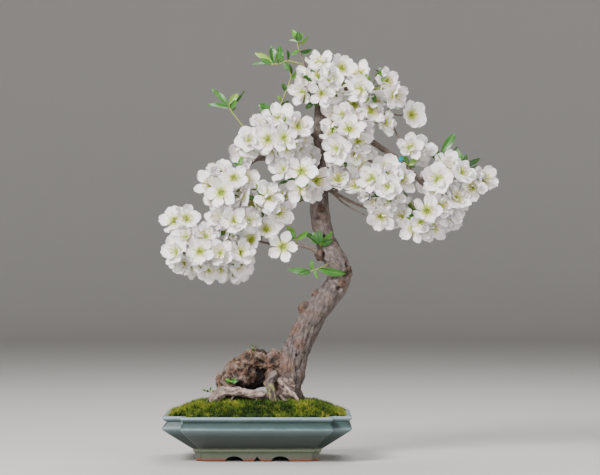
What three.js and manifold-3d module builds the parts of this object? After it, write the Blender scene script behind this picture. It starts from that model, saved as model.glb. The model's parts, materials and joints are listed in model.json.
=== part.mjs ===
// A Japanese quince bonsai in flower, standing in a celadon pot with notched corners.
// Millimetres, +Z up, the front of the tree towards -Y. Inside this file the middle of the
// pot's base is at (0, 0, 0); the last lines move the whole tree so that the origin is below
// the middle of its bounding box.
import * as THREE from "three";
import { mergeVertices } from "three/addons/utils/BufferGeometryUtils.js";
import Module from "manifold-3d";

const wasm = await Module();
wasm.setup();

// Driving dimensions
const CLEAR = 0.3; // gap between two pieces that touch
const GOLDEN_ANGLE = Math.PI * (3 - Math.sqrt(5));

const POT = { width: 270, depth: 205, height: 66, wall: 8, floorTop: 22, footTop: 13.5, footWall: 9 };
const CAVITY_INSET = 2; // how far the mouth's wall stands in from the widest line, less the wall
const NOTCH = { x: 27, y: 22, shrinkX: 0.39, shrinkY: 0.3, rounding: 2.5 };
// How far the pot's wall stands in from its widest line, from the feet up to the lip: [z, inset]
const POT_PROFILE = [
  [0, 46],
  [11.5, 46],
  [13, 45],
  [14, 43],
  [17.5, 43],
  [18.5, 41],
  [45, 2.5],
  [47.5, 0],
  [49.5, 0],
  [57, 5.5],
  [58.2, 6.5],
  [59.4, 3.5],
  [63, 0],
  [64.8, 0.6],
  [66, 2.5],
];
const ARCH = { width: 26, height: 7.5, fromMiddle: 33, steps: 6 };
const MIDDLE_ARCH = { width: 13.5, height: 7.2 };
const DRAIN = { radius: 11, fromMiddle: 45, sides: 20, mesh: 34, meshThick: 1.2, meshHoles: 2, meshBar: 4 };

const GROUND = {
  gap: 0.4,
  edgeTop: 58,
  crown: 19,
  mossThick: 6,
  bump: 1.6,
  edgeStep: 40,
  rings: [1, 0.87, 0.5],
};

const PETALS = 5;
const BLOOM = {
  smallest: 18,
  largest: 21.8,
  petalThick: 1.5,
  throat: 0.17,
  tuft: 0.4,
  shoulder: 0.37,
  notch: 0.76,
  cup: 0.3,
  calyx: 2.4,
};
const SPREAD = { rounds: 40, reach: 1, depth: 17, share: 0.25 };
const SPUR = { radius: 4.6 };
const LEAF = { thick: 1.2, width: 0.4, fold: 0.1, droop: 0.16 };

// The wood, limb by limb, each as points [x, y, z, radius] that its middle line runs through
const LIMBS = {
  trunk: [
    [40, 5, 46, 12],
    [41, 5, 84, 13],
    [43, 3, 100, 18],
    [46, 1, 120, 21],
    [50, 0, 140, 20],
    [57, 0, 162, 19],
    [69, 0, 186, 18.5],
    [85, -1, 213, 17],
    [103, -2, 236, 16.8],
    [117, -2, 258, 16.5],
    [116, -2, 280, 16.2],
    [105, 0, 300, 15.2],
    [97, 0, 318, 13.8],
    [92, 0, 342, 13.6],
    [89, 0, 370, 13.2],
    [89, 1, 396, 11.6],
    [93, 3, 422, 9],
    [93, 4, 442, 8],
    [89, 3, 464, 7.2],
    [89, 1, 490, 6.8],
    [90, 0, 516, 6],
    [92, -2, 534, 4],
  ],
  right_main: [
    [90, 2, 502, 4.4],
    [108, -2, 492, 4.8],
    [128, -6, 484, 4.7],
    [164, -12, 459, 4.3],
    [205, -16, 431, 4],
    [232, -18, 404, 3.6],
    [254, -20, 381, 3.1],
    [266, -22, 362, 2.2],
  ],
  right_tip: [
    [232, -18, 404, 3],
    [262, -20, 403, 2.8],
    [290, -20, 398, 2.4],
    [311, -16, 390, 1.8],
  ],
  right_hanging: [
    [250, -20, 385, 2.6],
    [243, -26, 366, 2.4],
    [236, -28, 346, 2],
  ],
  right_inner: [
    [205, -16, 431, 2.8],
    [197, -22, 412, 2.6],
    [184, -22, 392, 2.2],
  ],
  lower_right: [
    [92, 0, 394, 3.4],
    [112, -8, 384, 2.6],
    [136, -12, 371, 2.3],
    [160, -16, 362, 2.2],
    [192, -20, 357, 2],
    [214, -22, 350, 1.6],
  ],
  lower_right_twin: [
    [104, -5, 388, 1.6],
    [128, -6, 367, 1.2],
    [156, -12, 352, 1],
  ],
  middle_right: [
    [92, 2, 450, 3.2],
    [110, -10, 449, 2.8],
    [128, -16, 452, 2.2],
  ],
  crown_right: [
    [90, 0, 512, 3.4],
    [112, -2, 530, 3.2],
    [138, -5, 537, 2.8],
    [165, -6, 538, 2.2],
  ],
  right_twig: [
    [128, -6, 484, 2.4],
    [157, -5, 496, 2.1],
    [186, -4, 499, 1.8],
    [211, -2, 497, 1.5],
  ],
  right_bare_twig: [
    [186, -4, 499, 1.5],
    [197, -7, 479, 1.3],
    [205, -11, 460, 1.3],
    [219, -14, 440, 1.5],
  ],
  left_main: [
    [92, 3, 421, 5.6],
    [56, -2, 425, 4.7],
    [20, -6, 434, 4.3],
    [-1, -8, 434, 4.1],
    [-19, -10, 422, 3.9],
    [-43, -12, 389, 3.4],
    [-66, -14, 350, 3],
    [-86, -16, 312, 2.6],
    [-88, -16, 294, 2],
  ],
  left_inner: [
    [-22, -10, 419, 2.6],
    [-10, -16, 394, 2.4],
    [8, -18, 368, 2],
  ],
  left_middle: [
    [-66, -14, 350, 2.4],
    [-52, -18, 342, 2.2],
    [-38, -20, 337, 1.9],
  ],
  left_under: [
    [-84, -16, 316, 2.4],
    [-66, -20, 302, 2.2],
    [-44, -20, 291, 1.9],
  ],
  left_tip: [
    [-86, -16, 312, 2],
    [-100, -15, 326, 1.8],
    [-112, -13, 337, 1.5],
  ],
  left_spur: [
    [56, -2, 425, 2.8],
    [60, -10, 414, 2.4],
    [62, -16, 404, 2.1],
  ],
  left_low: [
    [96, -5, 288, 3.4],
    [85, -13, 300, 3],
    [72, -15, 306, 2.8],
    [57, -16, 309, 2.6],
    [36, -16, 308, 2.2],
    [4, -18, 314, 1.9],
  ],
  left_upper: [
    [89, 2, 470, 3.7],
    [62, -8, 463, 3.1],
    [37, -12, 462, 2.7],
    [12, -14, 459, 2.2],
    [-10, -15, 454, 1.8],
  ],
  crown_left: [
    [90, 0, 512, 3.2],
    [76, 4, 541, 2.6],
    [68, 6, 571, 2],
    [60, 7, 590, 1.5],
  ],
  back_low: [
    [90, 8, 386, 4],
    [55, 38, 374, 3.3],
    [12, 54, 370, 2.7],
    [-30, 56, 378, 2],
  ],
  back_left: [
    [89, 4, 462, 3.4],
    [62, 34, 468, 2.8],
    [36, 50, 466, 2.2],
  ],
  back_right: [
    [93, 5, 440, 3.8],
    [116, 36, 450, 3.1],
    [142, 56, 452, 2.6],
    [168, 60, 428, 2.3],
    [184, 58, 400, 2],
  ],
  back_crown: [
    [90, 1, 508, 3],
    [100, 26, 526, 2.4],
    [110, 42, 538, 2],
  ],
  back_tip: [
    [232, -18, 404, 2.6],
    [252, 14, 408, 2.3],
    [266, 38, 402, 2],
  ],
  root_left: [
    [34, -8, 92, 6.4],
    [14, -20, 92, 5.6],
    [-10, -26, 95, 5.6],
    [-34, -28, 98, 6.2],
    [-50, -27, 98, 7],
    [-62, -24, 88, 7.6],
    [-70, -20, 68, 8],
  ],
  root_mossy: [
    [28, -8, 122, 6],
    [18, -24, 112, 5],
    [20, -31, 97, 5.4],
    [24, -32, 82, 4.4],
    [25, -30, 64, 4],
  ],
  root_outer: [
    [30, -12, 116, 4],
    [49, -24, 97, 3.4],
    [60, -28, 80, 3.4],
    [64, -29, 64, 3.2],
  ],
  root_right: [
    [50, 6, 98, 10],
    [62, 22, 82, 7.5],
    [72, 36, 60, 6],
  ],
  root_back: [
    [36, 8, 104, 12],
    [24, 28, 86, 9],
    [14, 44, 62, 7],
  ],
  burl_foot: [
    [-18, 12, 124, 15],
    [-24, 24, 98, 15],
    [-26, 32, 60, 13],
  ],
  burl_wall: [
    [40, 16, 120, 15],
    [10, 24, 122, 19],
    [-18, 20, 114, 18],
  ],
};
const TRUNK_STEP = 20; // distance between two rings of a limb
const ROOT_STEP = 24;
const TWIG_STEP = 32;

// The old rotten burl beside the trunk: craggy lumps as [x, y, z, half width, half depth, half height]
const BURL = [
  [-44, 0, 108, 16, 17, 17],
  [-26, 2, 123, 20, 20, 22],
  [-4, 4, 143, 23, 19, 13],
  [22, 4, 141, 20, 17, 13],
  [25, 0, 120, 14, 14, 22],
];
// Pruning scars and stubs on the trunk, in the same form
const KNOTS = [
  [127, -6, 270, 8, 9, 10],
  [121, -16, 254, 5, 4, 5],
  [92, -13, 362, 5, 3, 5],
  [89, -12, 294, 6, 5, 7],
  [86, -3, 238, 7, 6, 6],
  [69, -3, 217, 9, 8, 9],
];

// Flower sprays. hub: the limb and the number of its point that the spur sits on. reach: how far the
// flowers stand from it. front: the middles of a front spray's flowers as [x, z]. rear: how many flowers a
// spray at the back has, which look backwards.
const SPRAYS = {
  crown: {
    hub: ["trunk", 21],
    reach: 24,
    front: [[104, 547], [76, 551], [92, 527], [121, 564], [89, 571], [66, 530]],
  },
  crown_right: {
    hub: ["crown_right", 3],
    reach: 20,
    front: [[168, 518], [147, 556], [186, 545], [197, 525], [149, 534], [139, 512]],
  },
  upper_right: {
    hub: ["right_main", 2],
    reach: 24,
    front: [[112, 494], [163, 502], [137, 488], [184, 486]],
  },
  lone_right: { hub: ["right_twig", 3], reach: 12, front: [[222, 497]] },
  inner_right: {
    hub: ["middle_right", 2],
    reach: 24,
    front: [[108, 470], [144, 457], [114, 447], [144, 429], [131, 474]],
  },
  below_crown: { hub: ["lower_right", 1], reach: 22, front: [[118, 403], [116, 424]] },
  middle_right: {
    hub: ["right_inner", 2],
    reach: 26,
    front: [[187, 392], [172, 372], [177, 350], [164, 404], [184, 418], [206, 403]],
  },
  under_right: { hub: ["lower_right", 3], reach: 20, front: [[143, 394], [190, 365]] },
  outer_right: { hub: ["right_bare_twig", 3], reach: 17, front: [[233, 446], [214, 442]] },
  right_end: { hub: ["right_tip", 1], reach: 24, front: [[281, 396], [292, 413], [258, 404], [272, 424]] },
  far_right: { hub: ["right_tip", 3], reach: 16, front: [[308, 392], [326, 403]] },
  right_droop: { hub: ["right_main", 7], reach: 16, front: [[284, 376], [272, 351]] },
  lower_right: {
    hub: ["right_hanging", 2],
    reach: 22,
    front: [[224, 334], [250, 334], [241, 358], [208, 350], [262, 365]],
  },
  upper_left: {
    hub: ["left_upper", 2],
    reach: 26,
    front: [[38, 461], [16, 461], [32, 440], [32, 490], [8, 482], [57, 479], [59, 453]],
  },
  left_shoulder: { hub: ["left_upper", 4], reach: 14, front: [[-11, 459], [-19, 443]] },
  heart: { hub: ["left_main", 1], reach: 18, front: [[70, 437]] },
  below_heart: { hub: ["left_spur", 2], reach: 22, front: [[38, 417], [63, 414], [62, 391], [84, 402]] },
  left_arm: {
    hub: ["left_main", 5],
    reach: 24,
    front: [[-52, 410], [-34, 405], [-51, 384], [-18, 404], [-68, 396]],
  },
  left_hollow: {
    hub: ["left_inner", 2],
    reach: 22,
    front: [[-6, 366], [15, 378], [38, 378], [-24, 380], [30, 356]],
  },
  left_middle: {
    hub: ["left_middle", 2],
    reach: 20,
    front: [[-56, 348], [-34, 343], [-40, 324], [-14, 344]],
  },
  left_inner_low: { hub: ["left_low", 5], reach: 15, front: [[-8, 317], [12, 331]] },
  lone_left: { hub: ["left_low", 4], reach: 11, front: [[36, 307]] },
  left_low: {
    hub: ["left_main", 8],
    reach: 24,
    front: [[-82, 300], [-96, 280], [-115, 300], [-102, 320], [-74, 321], [-70, 274]],
  },
  left_under: {
    hub: ["left_under", 2],
    reach: 18,
    front: [[-52, 297], [-46, 276], [-24, 299], [-26, 281]],
  },
  left_tip: { hub: ["left_tip", 2], reach: 11, front: [[-120, 345], [-103, 347]] },
  back_low_inner: { hub: ["back_low", 2], reach: 20, rear: 3 },
  back_low_outer: { hub: ["back_low", 3], reach: 19, rear: 3 },
  back_left: { hub: ["back_left", 2], reach: 20, rear: 3 },
  back_right_upper: { hub: ["back_right", 2], reach: 20, rear: 3 },
  back_right_lower: { hub: ["back_right", 4], reach: 20, rear: 3 },
  back_crown: { hub: ["back_crown", 2], reach: 19, rear: 3 },
  back_tip: { hub: ["back_tip", 2], reach: 19, rear: 2 },
};

// Leafy shoots. stem: the points its stem runs through, from inside the wood. Where the single leaves
// can be told apart, blades gives each as [how far along the stem it grows, x and z of its tip, how far
// its tip stands back, and how far it is turned from facing the front, in degrees]. Elsewhere, leaves:
// how many, size: the longest leaf, spread: how far they lean from the stem, in degrees.
const SHOOTS = {
  top: {
    stem: [[60, 7, 590], [58, 7, 598], [58, 6, 606]],
    radius: 1,
    blades: [
      [1, 51, 621, -4, 10],
      [1, 66, 615, -6, 20],
      [0.9, 59, 617, -9, 0],
      [0.8, 45, 611, 4, 60],
      [0.7, 76, 611, 3, 60],
      [0.1, 49, 586, -8, 20],
      [0, 78, 590, -5, 50],
    ],
  },
  top_left: {
    stem: [[67, 6, 571], [54, 5, 574], [42, 4, 576], [32, 3, 572], [19, 2, 571]],
    radius: 1.3,
    blades: [
      [1, -10, 574, 4, 60],
      [0.97, 4, 579, -6, 0],
      [0.92, -3, 592, 5, 35],
      [0.9, 20, 599, 0, 0],
      [0.8, 28, 586, -8, 50],
      [0.68, 31, 600, 4, 10],
      [0.62, 27, 590, -6, 0],
      [0.5, 45, 593, 3, 50],
      [0.6, 45, 562, -5, 20],
    ],
  },
  upper_twig: {
    stem: [[26, -12, 462], [22, -4, 486], [36, 2, 519], [43, 4, 538], [48, 5, 552], [46, 6, 563]],
    radius: 1.2,
    blades: [
      [0.88, 62, 560, -6, 30],
      [0.93, 50, 573, 3, 60],
      [0.7, 36, 543, -5, 20],
      [0.7, 53, 534, 4, 30],
      [0.56, 28, 525, -4, 20],
      [0.5, 45, 516, -5, 40],
      [0.38, 1, 514, -4, 20],
      [0.4, 25, 516, -8, 30],
      [0.33, 3, 504, -6, 0],
    ],
  },
  left_twig: {
    stem: [[-10, -15, 454], [-18, -6, 476], [-30, -2, 492], [-40, 0, 506], [-42, 0, 514]],
    radius: 1.2,
    blades: [
      [1, -29, 528, -5, 0],
      [0.97, -17, 531, 6, 60],
      [0.9, -31, 518, -8, 20],
      [0.85, -31, 508, 2, 40],
      [0.93, -66, 537, 3, 25],
      [0.88, -73, 516, 5, 55],
    ],
  },
  crown_leaf: {
    stem: [[90, 0, 510], [84, -14, 514], [77, -22, 518]],
    radius: 1.1,
    blades: [[1, 70, 536, -2, 10], [0.95, 61, 529, -6, 0], [0.9, 62, 518, -3, 20], [0.8, 70, 506, -4, 0]],
  },
  crown_right_leaf: {
    stem: [[165, -6, 538], [172, -4, 552], [175, -4, 562]],
    radius: 1,
    leaves: 5,
    size: 14,
    spread: 50,
  },
  right_twig_leaf: {
    stem: [[186, -4, 499], [190, -8, 510], [193, -12, 518]],
    radius: 1,
    leaves: 5,
    size: 18,
    spread: 55,
  },
  outer_right_leaf: {
    stem: [[262, -20, 403], [264, -10, 426], [265, -6, 441]],
    radius: 1.1,
    blades: [
      [1, 285, 470, -4, 0],
      [0.9, 244, 458, 6, 60],
      [0.85, 292, 447, 5, 60],
      [0.7, 252, 439, -6, 30],
    ],
  },
  end_leaf: {
    stem: [[290, -20, 398], [294, -10, 414], [296, -6, 424]],
    radius: 1.1,
    blades: [
      [1, 288, 447, -5, 0],
      [0.95, 303, 438, -8, 25],
      [1, 324, 432, 4, 30],
      [0.85, 281, 436, 6, 50],
      [0.8, 318, 420, -3, 60],
    ],
  },
  middle_leaf: {
    stem: [[205, -16, 431], [214, -26, 426], [218, -32, 424]],
    radius: 1,
    blades: [[1, 229, 433, -4, 0], [0.9, 212, 438, -6, 30], [0.8, 227, 420, 3, 30]],
  },
  lower_inner_leaf: {
    stem: [[98, -3, 391], [99, -14, 392], [102, -20, 392]],
    radius: 1,
    leaves: 3,
    size: 15,
    spread: 55,
  },
  trunk_leaf: {
    stem: [[93, -4, 306], [91, -16, 308], [90, -21, 312]],
    radius: 1.1,
    blades: [
      [1, 80, 328, -3, 0],
      [1, 89, 330, -6, 15],
      [0.95, 69, 328, 4, 35],
      [0.95, 109, 327, -4, 40],
      [0.9, 112, 323, 3, 60],
      [0.85, 109, 314, -3, 30],
      [0.85, 79, 317, -5, 50],
    ],
  },
  trunk_side_leaf: {
    stem: [[57, -16, 309], [56, -20, 314], [55, -22, 319]],
    radius: 1,
    blades: [[1, 38, 321, -4, 0], [1, 45, 332, -6, 20], [0.9, 43, 338, 4, 30], [0.9, 73, 327, -3, 30]],
  },
  trunk_low_leaf: {
    stem: [[106, -8, 284], [92, -22, 277], [76, -24, 271]],
    radius: 1,
    blades: [
      [1, 43, 274, -2, 10],
      [0.96, 59, 267, -6, 0],
      [0.95, 78, 288, -5, 20],
      [0.7, 125, 265, -9, 25],
      [0.8, 84, 262, -6, 40],
    ],
  },
  left_leaf: {
    stem: [[-19, -10, 422], [-26, -24, 424], [-28, -30, 422]],
    radius: 1,
    blades: [[1, -17, 413, -6, 0], [0.95, -22, 436, -4, 10], [0.85, -36, 430, 3, 40]],
  },
  back_leaf: {
    stem: [[55, 38, 374], [52, 50, 380], [50, 58, 386]],
    radius: 1.1,
    leaves: 4,
    size: 26,
    spread: 55,
  },
  back_right_leaf: {
    stem: [[116, 36, 450], [112, 46, 460], [110, 54, 468]],
    radius: 1.1,
    leaves: 4,
    size: 26,
    spread: 55,
  },
  burl_fern: {
    stem: [[-40, -8, 112], [-38, -22, 112], [-38, -26, 113]],
    radius: 1.2,
    leaves: 5,
    size: 13,
    spread: 62,
  },
  burl_sprig: {
    stem: [[-8, -4, 146], [-7, -6, 154], [-6, -6, 161]],
    radius: 0.9,
    leaves: 4,
    size: 10,
    spread: 34,
  },
  root_sprig: {
    stem: [[-58, -22, 94], [-67, -14, 97], [-74, -10, 98]],
    radius: 0.9,
    leaves: 5,
    size: 9,
    spread: 60,
  },
};

// A repeatable number from 0 to 1 for each whole seed
function draw(seed) {
  let h = Math.imul(seed + 1, 0x9e3779b1);
  h = Math.imul(h ^ (h >>> 15), 0x85ebca6b);
  h = Math.imul(h ^ (h >>> 13), 0xc2b2ae35);
  return ((h ^ (h >>> 16)) >>> 0) / 4294967296;
}

const vec = (x, y, z) => new THREE.Vector3(x, y, z);
const lerp = THREE.MathUtils.lerp;

// A closed three.js geometry as a solid that can be cut and joined
function solidOf(geometry) {
  const bare = geometry.clone();
  bare.deleteAttribute("normal");
  bare.deleteAttribute("uv");
  const merged = mergeVertices(bare, 1e-4);
  const corners = merged.index.array;
  const triVerts = [];
  for (let i = 0; i < corners.length; i += 3) {
    const [a, b, c] = [corners[i], corners[i + 1], corners[i + 2]];
    if (a !== b && b !== c && c !== a) triVerts.push(a, b, c);
  }
  return new wasm.Manifold(
    new wasm.Mesh({
      numProp: 3,
      vertProperties: merged.attributes.position.array,
      triVerts: new Uint32Array(triVerts),
    }),
  );
}

function geometryOf(solid) {
  const mesh = solid.getMesh();
  const points = new Float32Array(mesh.vertProperties);
  const geometry = new THREE.BufferGeometry();
  geometry.setAttribute("position", new THREE.BufferAttribute(points, 3));
  geometry.setIndex(new THREE.BufferAttribute(new Uint32Array(mesh.triVerts), 1));
  geometry.computeVertexNormals();
  return geometry;
}

// A closed surface from points and triangles given as triples of point numbers
function closedGeometry(points, triangles) {
  const geometry = new THREE.BufferGeometry().setFromPoints(points);
  geometry.setIndex(triangles.flat());
  return geometry;
}

const union = (solids) => solids.reduce((all, one) => all.add(one));

// The largest body of a solid, without the loose scraps that a cut can leave
function largestBody(solid) {
  return solid.decompose().sort((a, b) => b.volume() - a.volume())[0];
}

// A skin over rings of points, each going anticlockwise seen from its far end, closed by a fan at both ends
function loft(rings) {
  const count = rings[0].length;
  const points = rings.flat();
  const triangles = [];
  for (let ring = 0; ring + 1 < rings.length; ring++)
    for (let i = 0; i < count; i++) {
      const next = (i + 1) % count;
      const [a, b] = [ring * count + i, ring * count + next];
      triangles.push([a, b, b + count], [a, b + count, a + count]);
    }
  const middleOf = (ring) => ring.reduce((sum, p) => sum.add(p), vec(0, 0, 0)).divideScalar(count);
  const first = points.push(middleOf(rings[0])) - 1;
  const last = points.push(middleOf(rings[rings.length - 1])) - 1;
  const top = (rings.length - 1) * count;
  for (let i = 0; i < count; i++) {
    const next = (i + 1) % count;
    triangles.push([first, next, i], [last, top + i, top + next]);
  }
  return closedGeometry(points, triangles);
}

// The pot

// A rectangle with a square notch out of each corner, anticlockwise, its outer corners cut by the rounding
function notchedOutline(halfX, halfY, notchX, notchY, z, cut) {
  const [innerX, innerY] = [halfX - notchX, halfY - notchY];
  const corner = cut
    ? [
        [halfX, innerY - cut],
        [halfX - cut, innerY],
        [innerX, innerY],
        [innerX, halfY - cut],
        [innerX - cut, halfY],
      ]
    : [[halfX, innerY], [innerX, innerY], [innerX, halfY]];
  const quarter = (signX, signY) => corner.map(([x, y]) => vec(signX * x, signY * y, z));
  return [
    ...quarter(1, 1),
    ...quarter(-1, 1).reverse(),
    ...quarter(-1, -1),
    ...quarter(1, -1).reverse(),
  ];
}

// The pot's outline at a height, and the same taken in by a wall's thickness, with sharp corners
function potOutline(z, inset, wall = 0) {
  return notchedOutline(
    POT.width / 2 - inset - wall,
    POT.depth / 2 - inset - wall,
    NOTCH.x - NOTCH.shrinkX * inset,
    NOTCH.y - NOTCH.shrinkY * inset,
    z,
    wall ? 0 : NOTCH.rounding,
  );
}

function insetAt(z) {
  const above = POT_PROFILE.findIndex(([height]) => height >= z);
  const [[z0, inset0], [z1, inset1]] = [POT_PROFILE[above - 1], POT_PROFILE[above]];
  return lerp(inset0, inset1, (z - z0) / (z1 - z0));
}

// The cavity's rings, from the floor to a height above the last bend, taken in by a further gap
function cavityRings(gap, top) {
  const levels = [
    [POT.floorTop, insetAt(POT.floorTop)],
    [45, 4],
    [56, CAVITY_INSET],
    [top, CAVITY_INSET],
  ];
  return levels.map(([z, inset]) => potOutline(z, inset, POT.wall + gap));
}

// An arch under the apron, along Y, as a shape in X and Z
function archShape(middle, width, height, peaked) {
  const shape = new THREE.Shape();
  shape.moveTo(middle - width / 2, -1);
  for (let i = 0; i <= ARCH.steps; i++) {
    const across = -1 + (2 * i) / ARCH.steps;
    const rise = peaked ? (1 - Math.abs(across)) ** 1.3 : Math.sqrt(1 - across * across);
    shape.lineTo(middle + (across * width) / 2, 0.01 + rise * height);
  }
  shape.lineTo(middle + width / 2, -1);
  return shape;
}

function archesAlong(turn, list, length) {
  return list.map(([middle, width, height, peaked]) => {
    const shape = archShape(middle, width, height, peaked);
    const tunnel = new THREE.ExtrudeGeometry(shape, { depth: length, bevelEnabled: false });
    tunnel.translate(0, 0, -length / 2);
    tunnel.rotateX(Math.PI / 2);
    tunnel.rotateZ(turn);
    return solidOf(tunnel);
  });
}

function potSolid() {
  const outside = solidOf(loft(POT_PROFILE.map(([z, inset]) => potOutline(z, inset))));
  const cavity = solidOf(loft(cavityRings(0, POT.height + 1)));
  const foot = POT_PROFILE[0][1];
  const recess = solidOf(
    loft([potOutline(-1, foot, POT.footWall), potOutline(POT.footTop, foot, POT.footWall)]),
  );
  const frontArches = [
    [-ARCH.fromMiddle, ARCH.width, ARCH.height, false],
    [0, MIDDLE_ARCH.width, MIDDLE_ARCH.height, true],
    [ARCH.fromMiddle, ARCH.width, ARCH.height, false],
  ];
  const sideArches = [[0, ARCH.width, ARCH.height, false]];
  const drains = [-1, 1].map((side) => {
    const hole = new THREE.CylinderGeometry(DRAIN.radius, DRAIN.radius, POT.floorTop, DRAIN.sides);
    hole.rotateX(Math.PI / 2);
    hole.translate(side * DRAIN.fromMiddle, 0, POT.floorTop);
    return solidOf(hole);
  });
  const cuts = [
    cavity,
    recess,
    ...archesAlong(0, frontArches, POT.depth),
    ...archesAlong(Math.PI / 2, sideArches, POT.width),
    ...drains,
  ];
  return cuts.reduce((pot, cut) => pot.subtract(cut), outside);
}

// A square of plastic mesh that keeps the soil in over a drain hole; grown, it is a plain block
function drainMeshSolid(side, grow) {
  const { mesh, meshThick, meshHoles, meshBar, fromMiddle } = DRAIN;
  const middle = [side * fromMiddle, 0, POT.floorTop + CLEAR + meshThick / 2];
  const hole = (mesh - meshBar * (meshHoles + 1)) / meshHoles;
  const block = (size, height, x, y) =>
    solidOf(new THREE.BoxGeometry(size, size, height).translate(middle[0] + x, middle[1] + y, middle[2]));
  const plate = block(mesh + 2 * grow, meshThick + 2 * grow, 0, 0);
  if (grow) return plate;
  const places = [-0.5, 0.5].map((n) => n * (hole + meshBar));
  const openings = places.flatMap((x) => places.map((y) => block(hole, 2 * meshThick, x, y)));
  return openings.reduce((all, opening) => all.subtract(opening), plate);
}

// Soil and moss

// A soft swelling of the ground at a place in the pot, from 0 to about 1
function swelling(x, y) {
  const across = Math.max(0, 1 - (Math.abs(x) / (POT.width / 2)) ** 5);
  const along = Math.max(0, 1 - (Math.abs(y) / (POT.depth / 2)) ** 4);
  return (across * along) ** 0.7;
}

// Points evenly along the pot's mouth
function groundOutline() {
  const corners = potOutline(0, CAVITY_INSET, POT.wall + CLEAR);
  const outline = [];
  corners.forEach((p, i) => {
    const next = corners[(i + 1) % corners.length];
    const parts = Math.ceil(p.distanceTo(next) / GROUND.edgeStep);
    for (let k = 0; k < parts; k++) outline.push(p.clone().lerp(next, k / parts));
  });
  return outline;
}

// The ground from a flat underside up to a surface raised over the soil's own, with small lumps
function groundSolid(bottom, raise, bump, grow) {
  const outline = groundOutline();
  const rings = GROUND.rings.map((share, ring) =>
    outline.map((p, i) => {
      const [x, y] = [p.x * share, p.y * share];
      const lump = bump * (Math.sin(x / 9 + ring) * Math.cos(y / 8) + 0.7 * (draw(i * 7 + ring) - 0.5));
      const base = GROUND.edgeTop + GROUND.crown * swelling(x, y) + raise;
      const height = base + (share === 1 ? -0.5 : 1) * lump;
      return vec(x, y, height + grow).multiply(vec(1 + grow / 50, 1 + grow / 50, 1));
    }),
  );
  const under = rings[0].map((p) => vec(p.x, p.y, bottom));
  return solidOf(loft([under, ...rings]));
}

function soilSolid(grow) {
  const fill = solidOf(loft(cavityRings(GROUND.gap - grow, GROUND.edgeTop - 1)));
  return fill.translate(0, 0, GROUND.gap).add(groundSolid(GROUND.edgeTop - 1.5, 0, 0, grow));
}

const mossSolid = (grow) => groundSolid(GROUND.edgeTop - 1, GROUND.mossThick, GROUND.bump, grow);

// Wood

// A limb as a tube of changing radius whose bark rises and falls round it
function limbSolid(points, sides, step, ridge, grow) {
  const curve = new THREE.CatmullRomCurve3(
    points.map(([x, y, z]) => vec(x, y, z)),
    false,
    "centripetal",
  );
  const count = Math.max(points.length - 1, Math.round(curve.getLength() / step));
  const frames = curve.computeFrenetFrames(count, false);
  const rings = [];
  for (let i = 0; i <= count; i++) {
    const along = curve.getUtoTmapping(i / count) * (points.length - 1);
    const before = Math.min(points.length - 2, Math.floor(along));
    const radius = lerp(points[before][3], points[before + 1][3], along - before);
    const middle = curve.getPointAt(i / count);
    const ring = [];
    for (let k = 0; k < sides; k++) {
      const angle = (k / sides) * 2 * Math.PI;
      const bark = 1 + ridge * (Math.sin(3 * angle + i * 0.8) + 0.6 * Math.sin(2 * angle - i * 1.3));
      const out = radius * bark + grow;
      ring.push(
        middle
          .clone()
          .addScaledVector(frames.normals[i], out * Math.cos(angle))
          .addScaledVector(frames.binormals[i], out * Math.sin(angle)),
      );
    }
    rings.push(ring);
  }
  if (grow) {
    rings[0].forEach((p) => p.addScaledVector(frames.tangents[0], -grow));
    rings[count].forEach((p) => p.addScaledVector(frames.tangents[count], grow));
  }
  return solidOf(loft(rings));
}

// A lump with a craggy surface
function lumpSolid([x, y, z, halfX, halfY, halfZ], detail, crag, grow) {
  const lump = new THREE.IcosahedronGeometry(1, detail);
  const position = lump.attributes.position;
  for (let i = 0; i < position.count; i++) {
    const p = vec(position.getX(i), position.getY(i), position.getZ(i));
    const rough = Math.sin(5 * p.x + x) * Math.sin(6 * p.y + 2) + Math.sin(7 * p.z + 3 * p.x);
    p.multiplyScalar(1 + crag * rough);
    position.setXYZ(i, p.x * (halfX + grow), p.y * (halfY + grow), p.z * (halfZ + grow));
  }
  return solidOf(lump.translate(x, y, z));
}

function woodSolid(grow) {
  const limbs = Object.entries(LIMBS).map(([name, points]) => {
    const thick = Math.max(...points.map((p) => p[3]));
    if (name === "trunk") return limbSolid(points, 10, TRUNK_STEP, 0.05, grow);
    if (thick > 6) return limbSolid(points, 6, ROOT_STEP, 0.06, grow);
    return limbSolid(points, thick > 3 ? 5 : 4, TWIG_STEP, 0, grow);
  });
  const lumps = BURL.map((lump) => lumpSolid(lump, 1, 0.12, grow));
  const knots = KNOTS.map((knot) => lumpSolid(knot, 0, 0.06, grow));
  return union([...limbs, ...lumps, ...knots]);
}

// A tie of teal tape round the right branch, with its two ends standing off
function tieSolid(grow) {
  const from = vec(...LIMBS.right_main[4]);
  const along = vec(...LIMBS.right_main[5]).sub(from).normalize();
  const back = vec(...LIMBS.right_main[3]).sub(from).normalize();
  const axis = along.sub(back).normalize();
  const inner = 5.4 - grow;
  const outer = 6.8 + grow;
  const half = 3 + grow;
  const profile = [
    new THREE.Vector2(inner, -half),
    new THREE.Vector2(outer, -half),
    new THREE.Vector2(outer, half),
    new THREE.Vector2(inner, half),
    new THREE.Vector2(inner, -half),
  ];
  const band = new THREE.LatheGeometry(profile, 10);
  const tail = new THREE.BoxGeometry(9 + 2 * grow, 4 + 2 * grow, 1.2 + 2 * grow);
  tail.rotateY(0.5);
  tail.translate(-outer - 2.5, 0, 1);
  const turn = new THREE.Quaternion().setFromUnitVectors(vec(0, 1, 0), axis);
  const ends = [band, tail].map((shape) => shape.applyQuaternion(turn).translate(...from.toArray()));
  return union(ends.map(solidOf));
}

// Flowers

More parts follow.
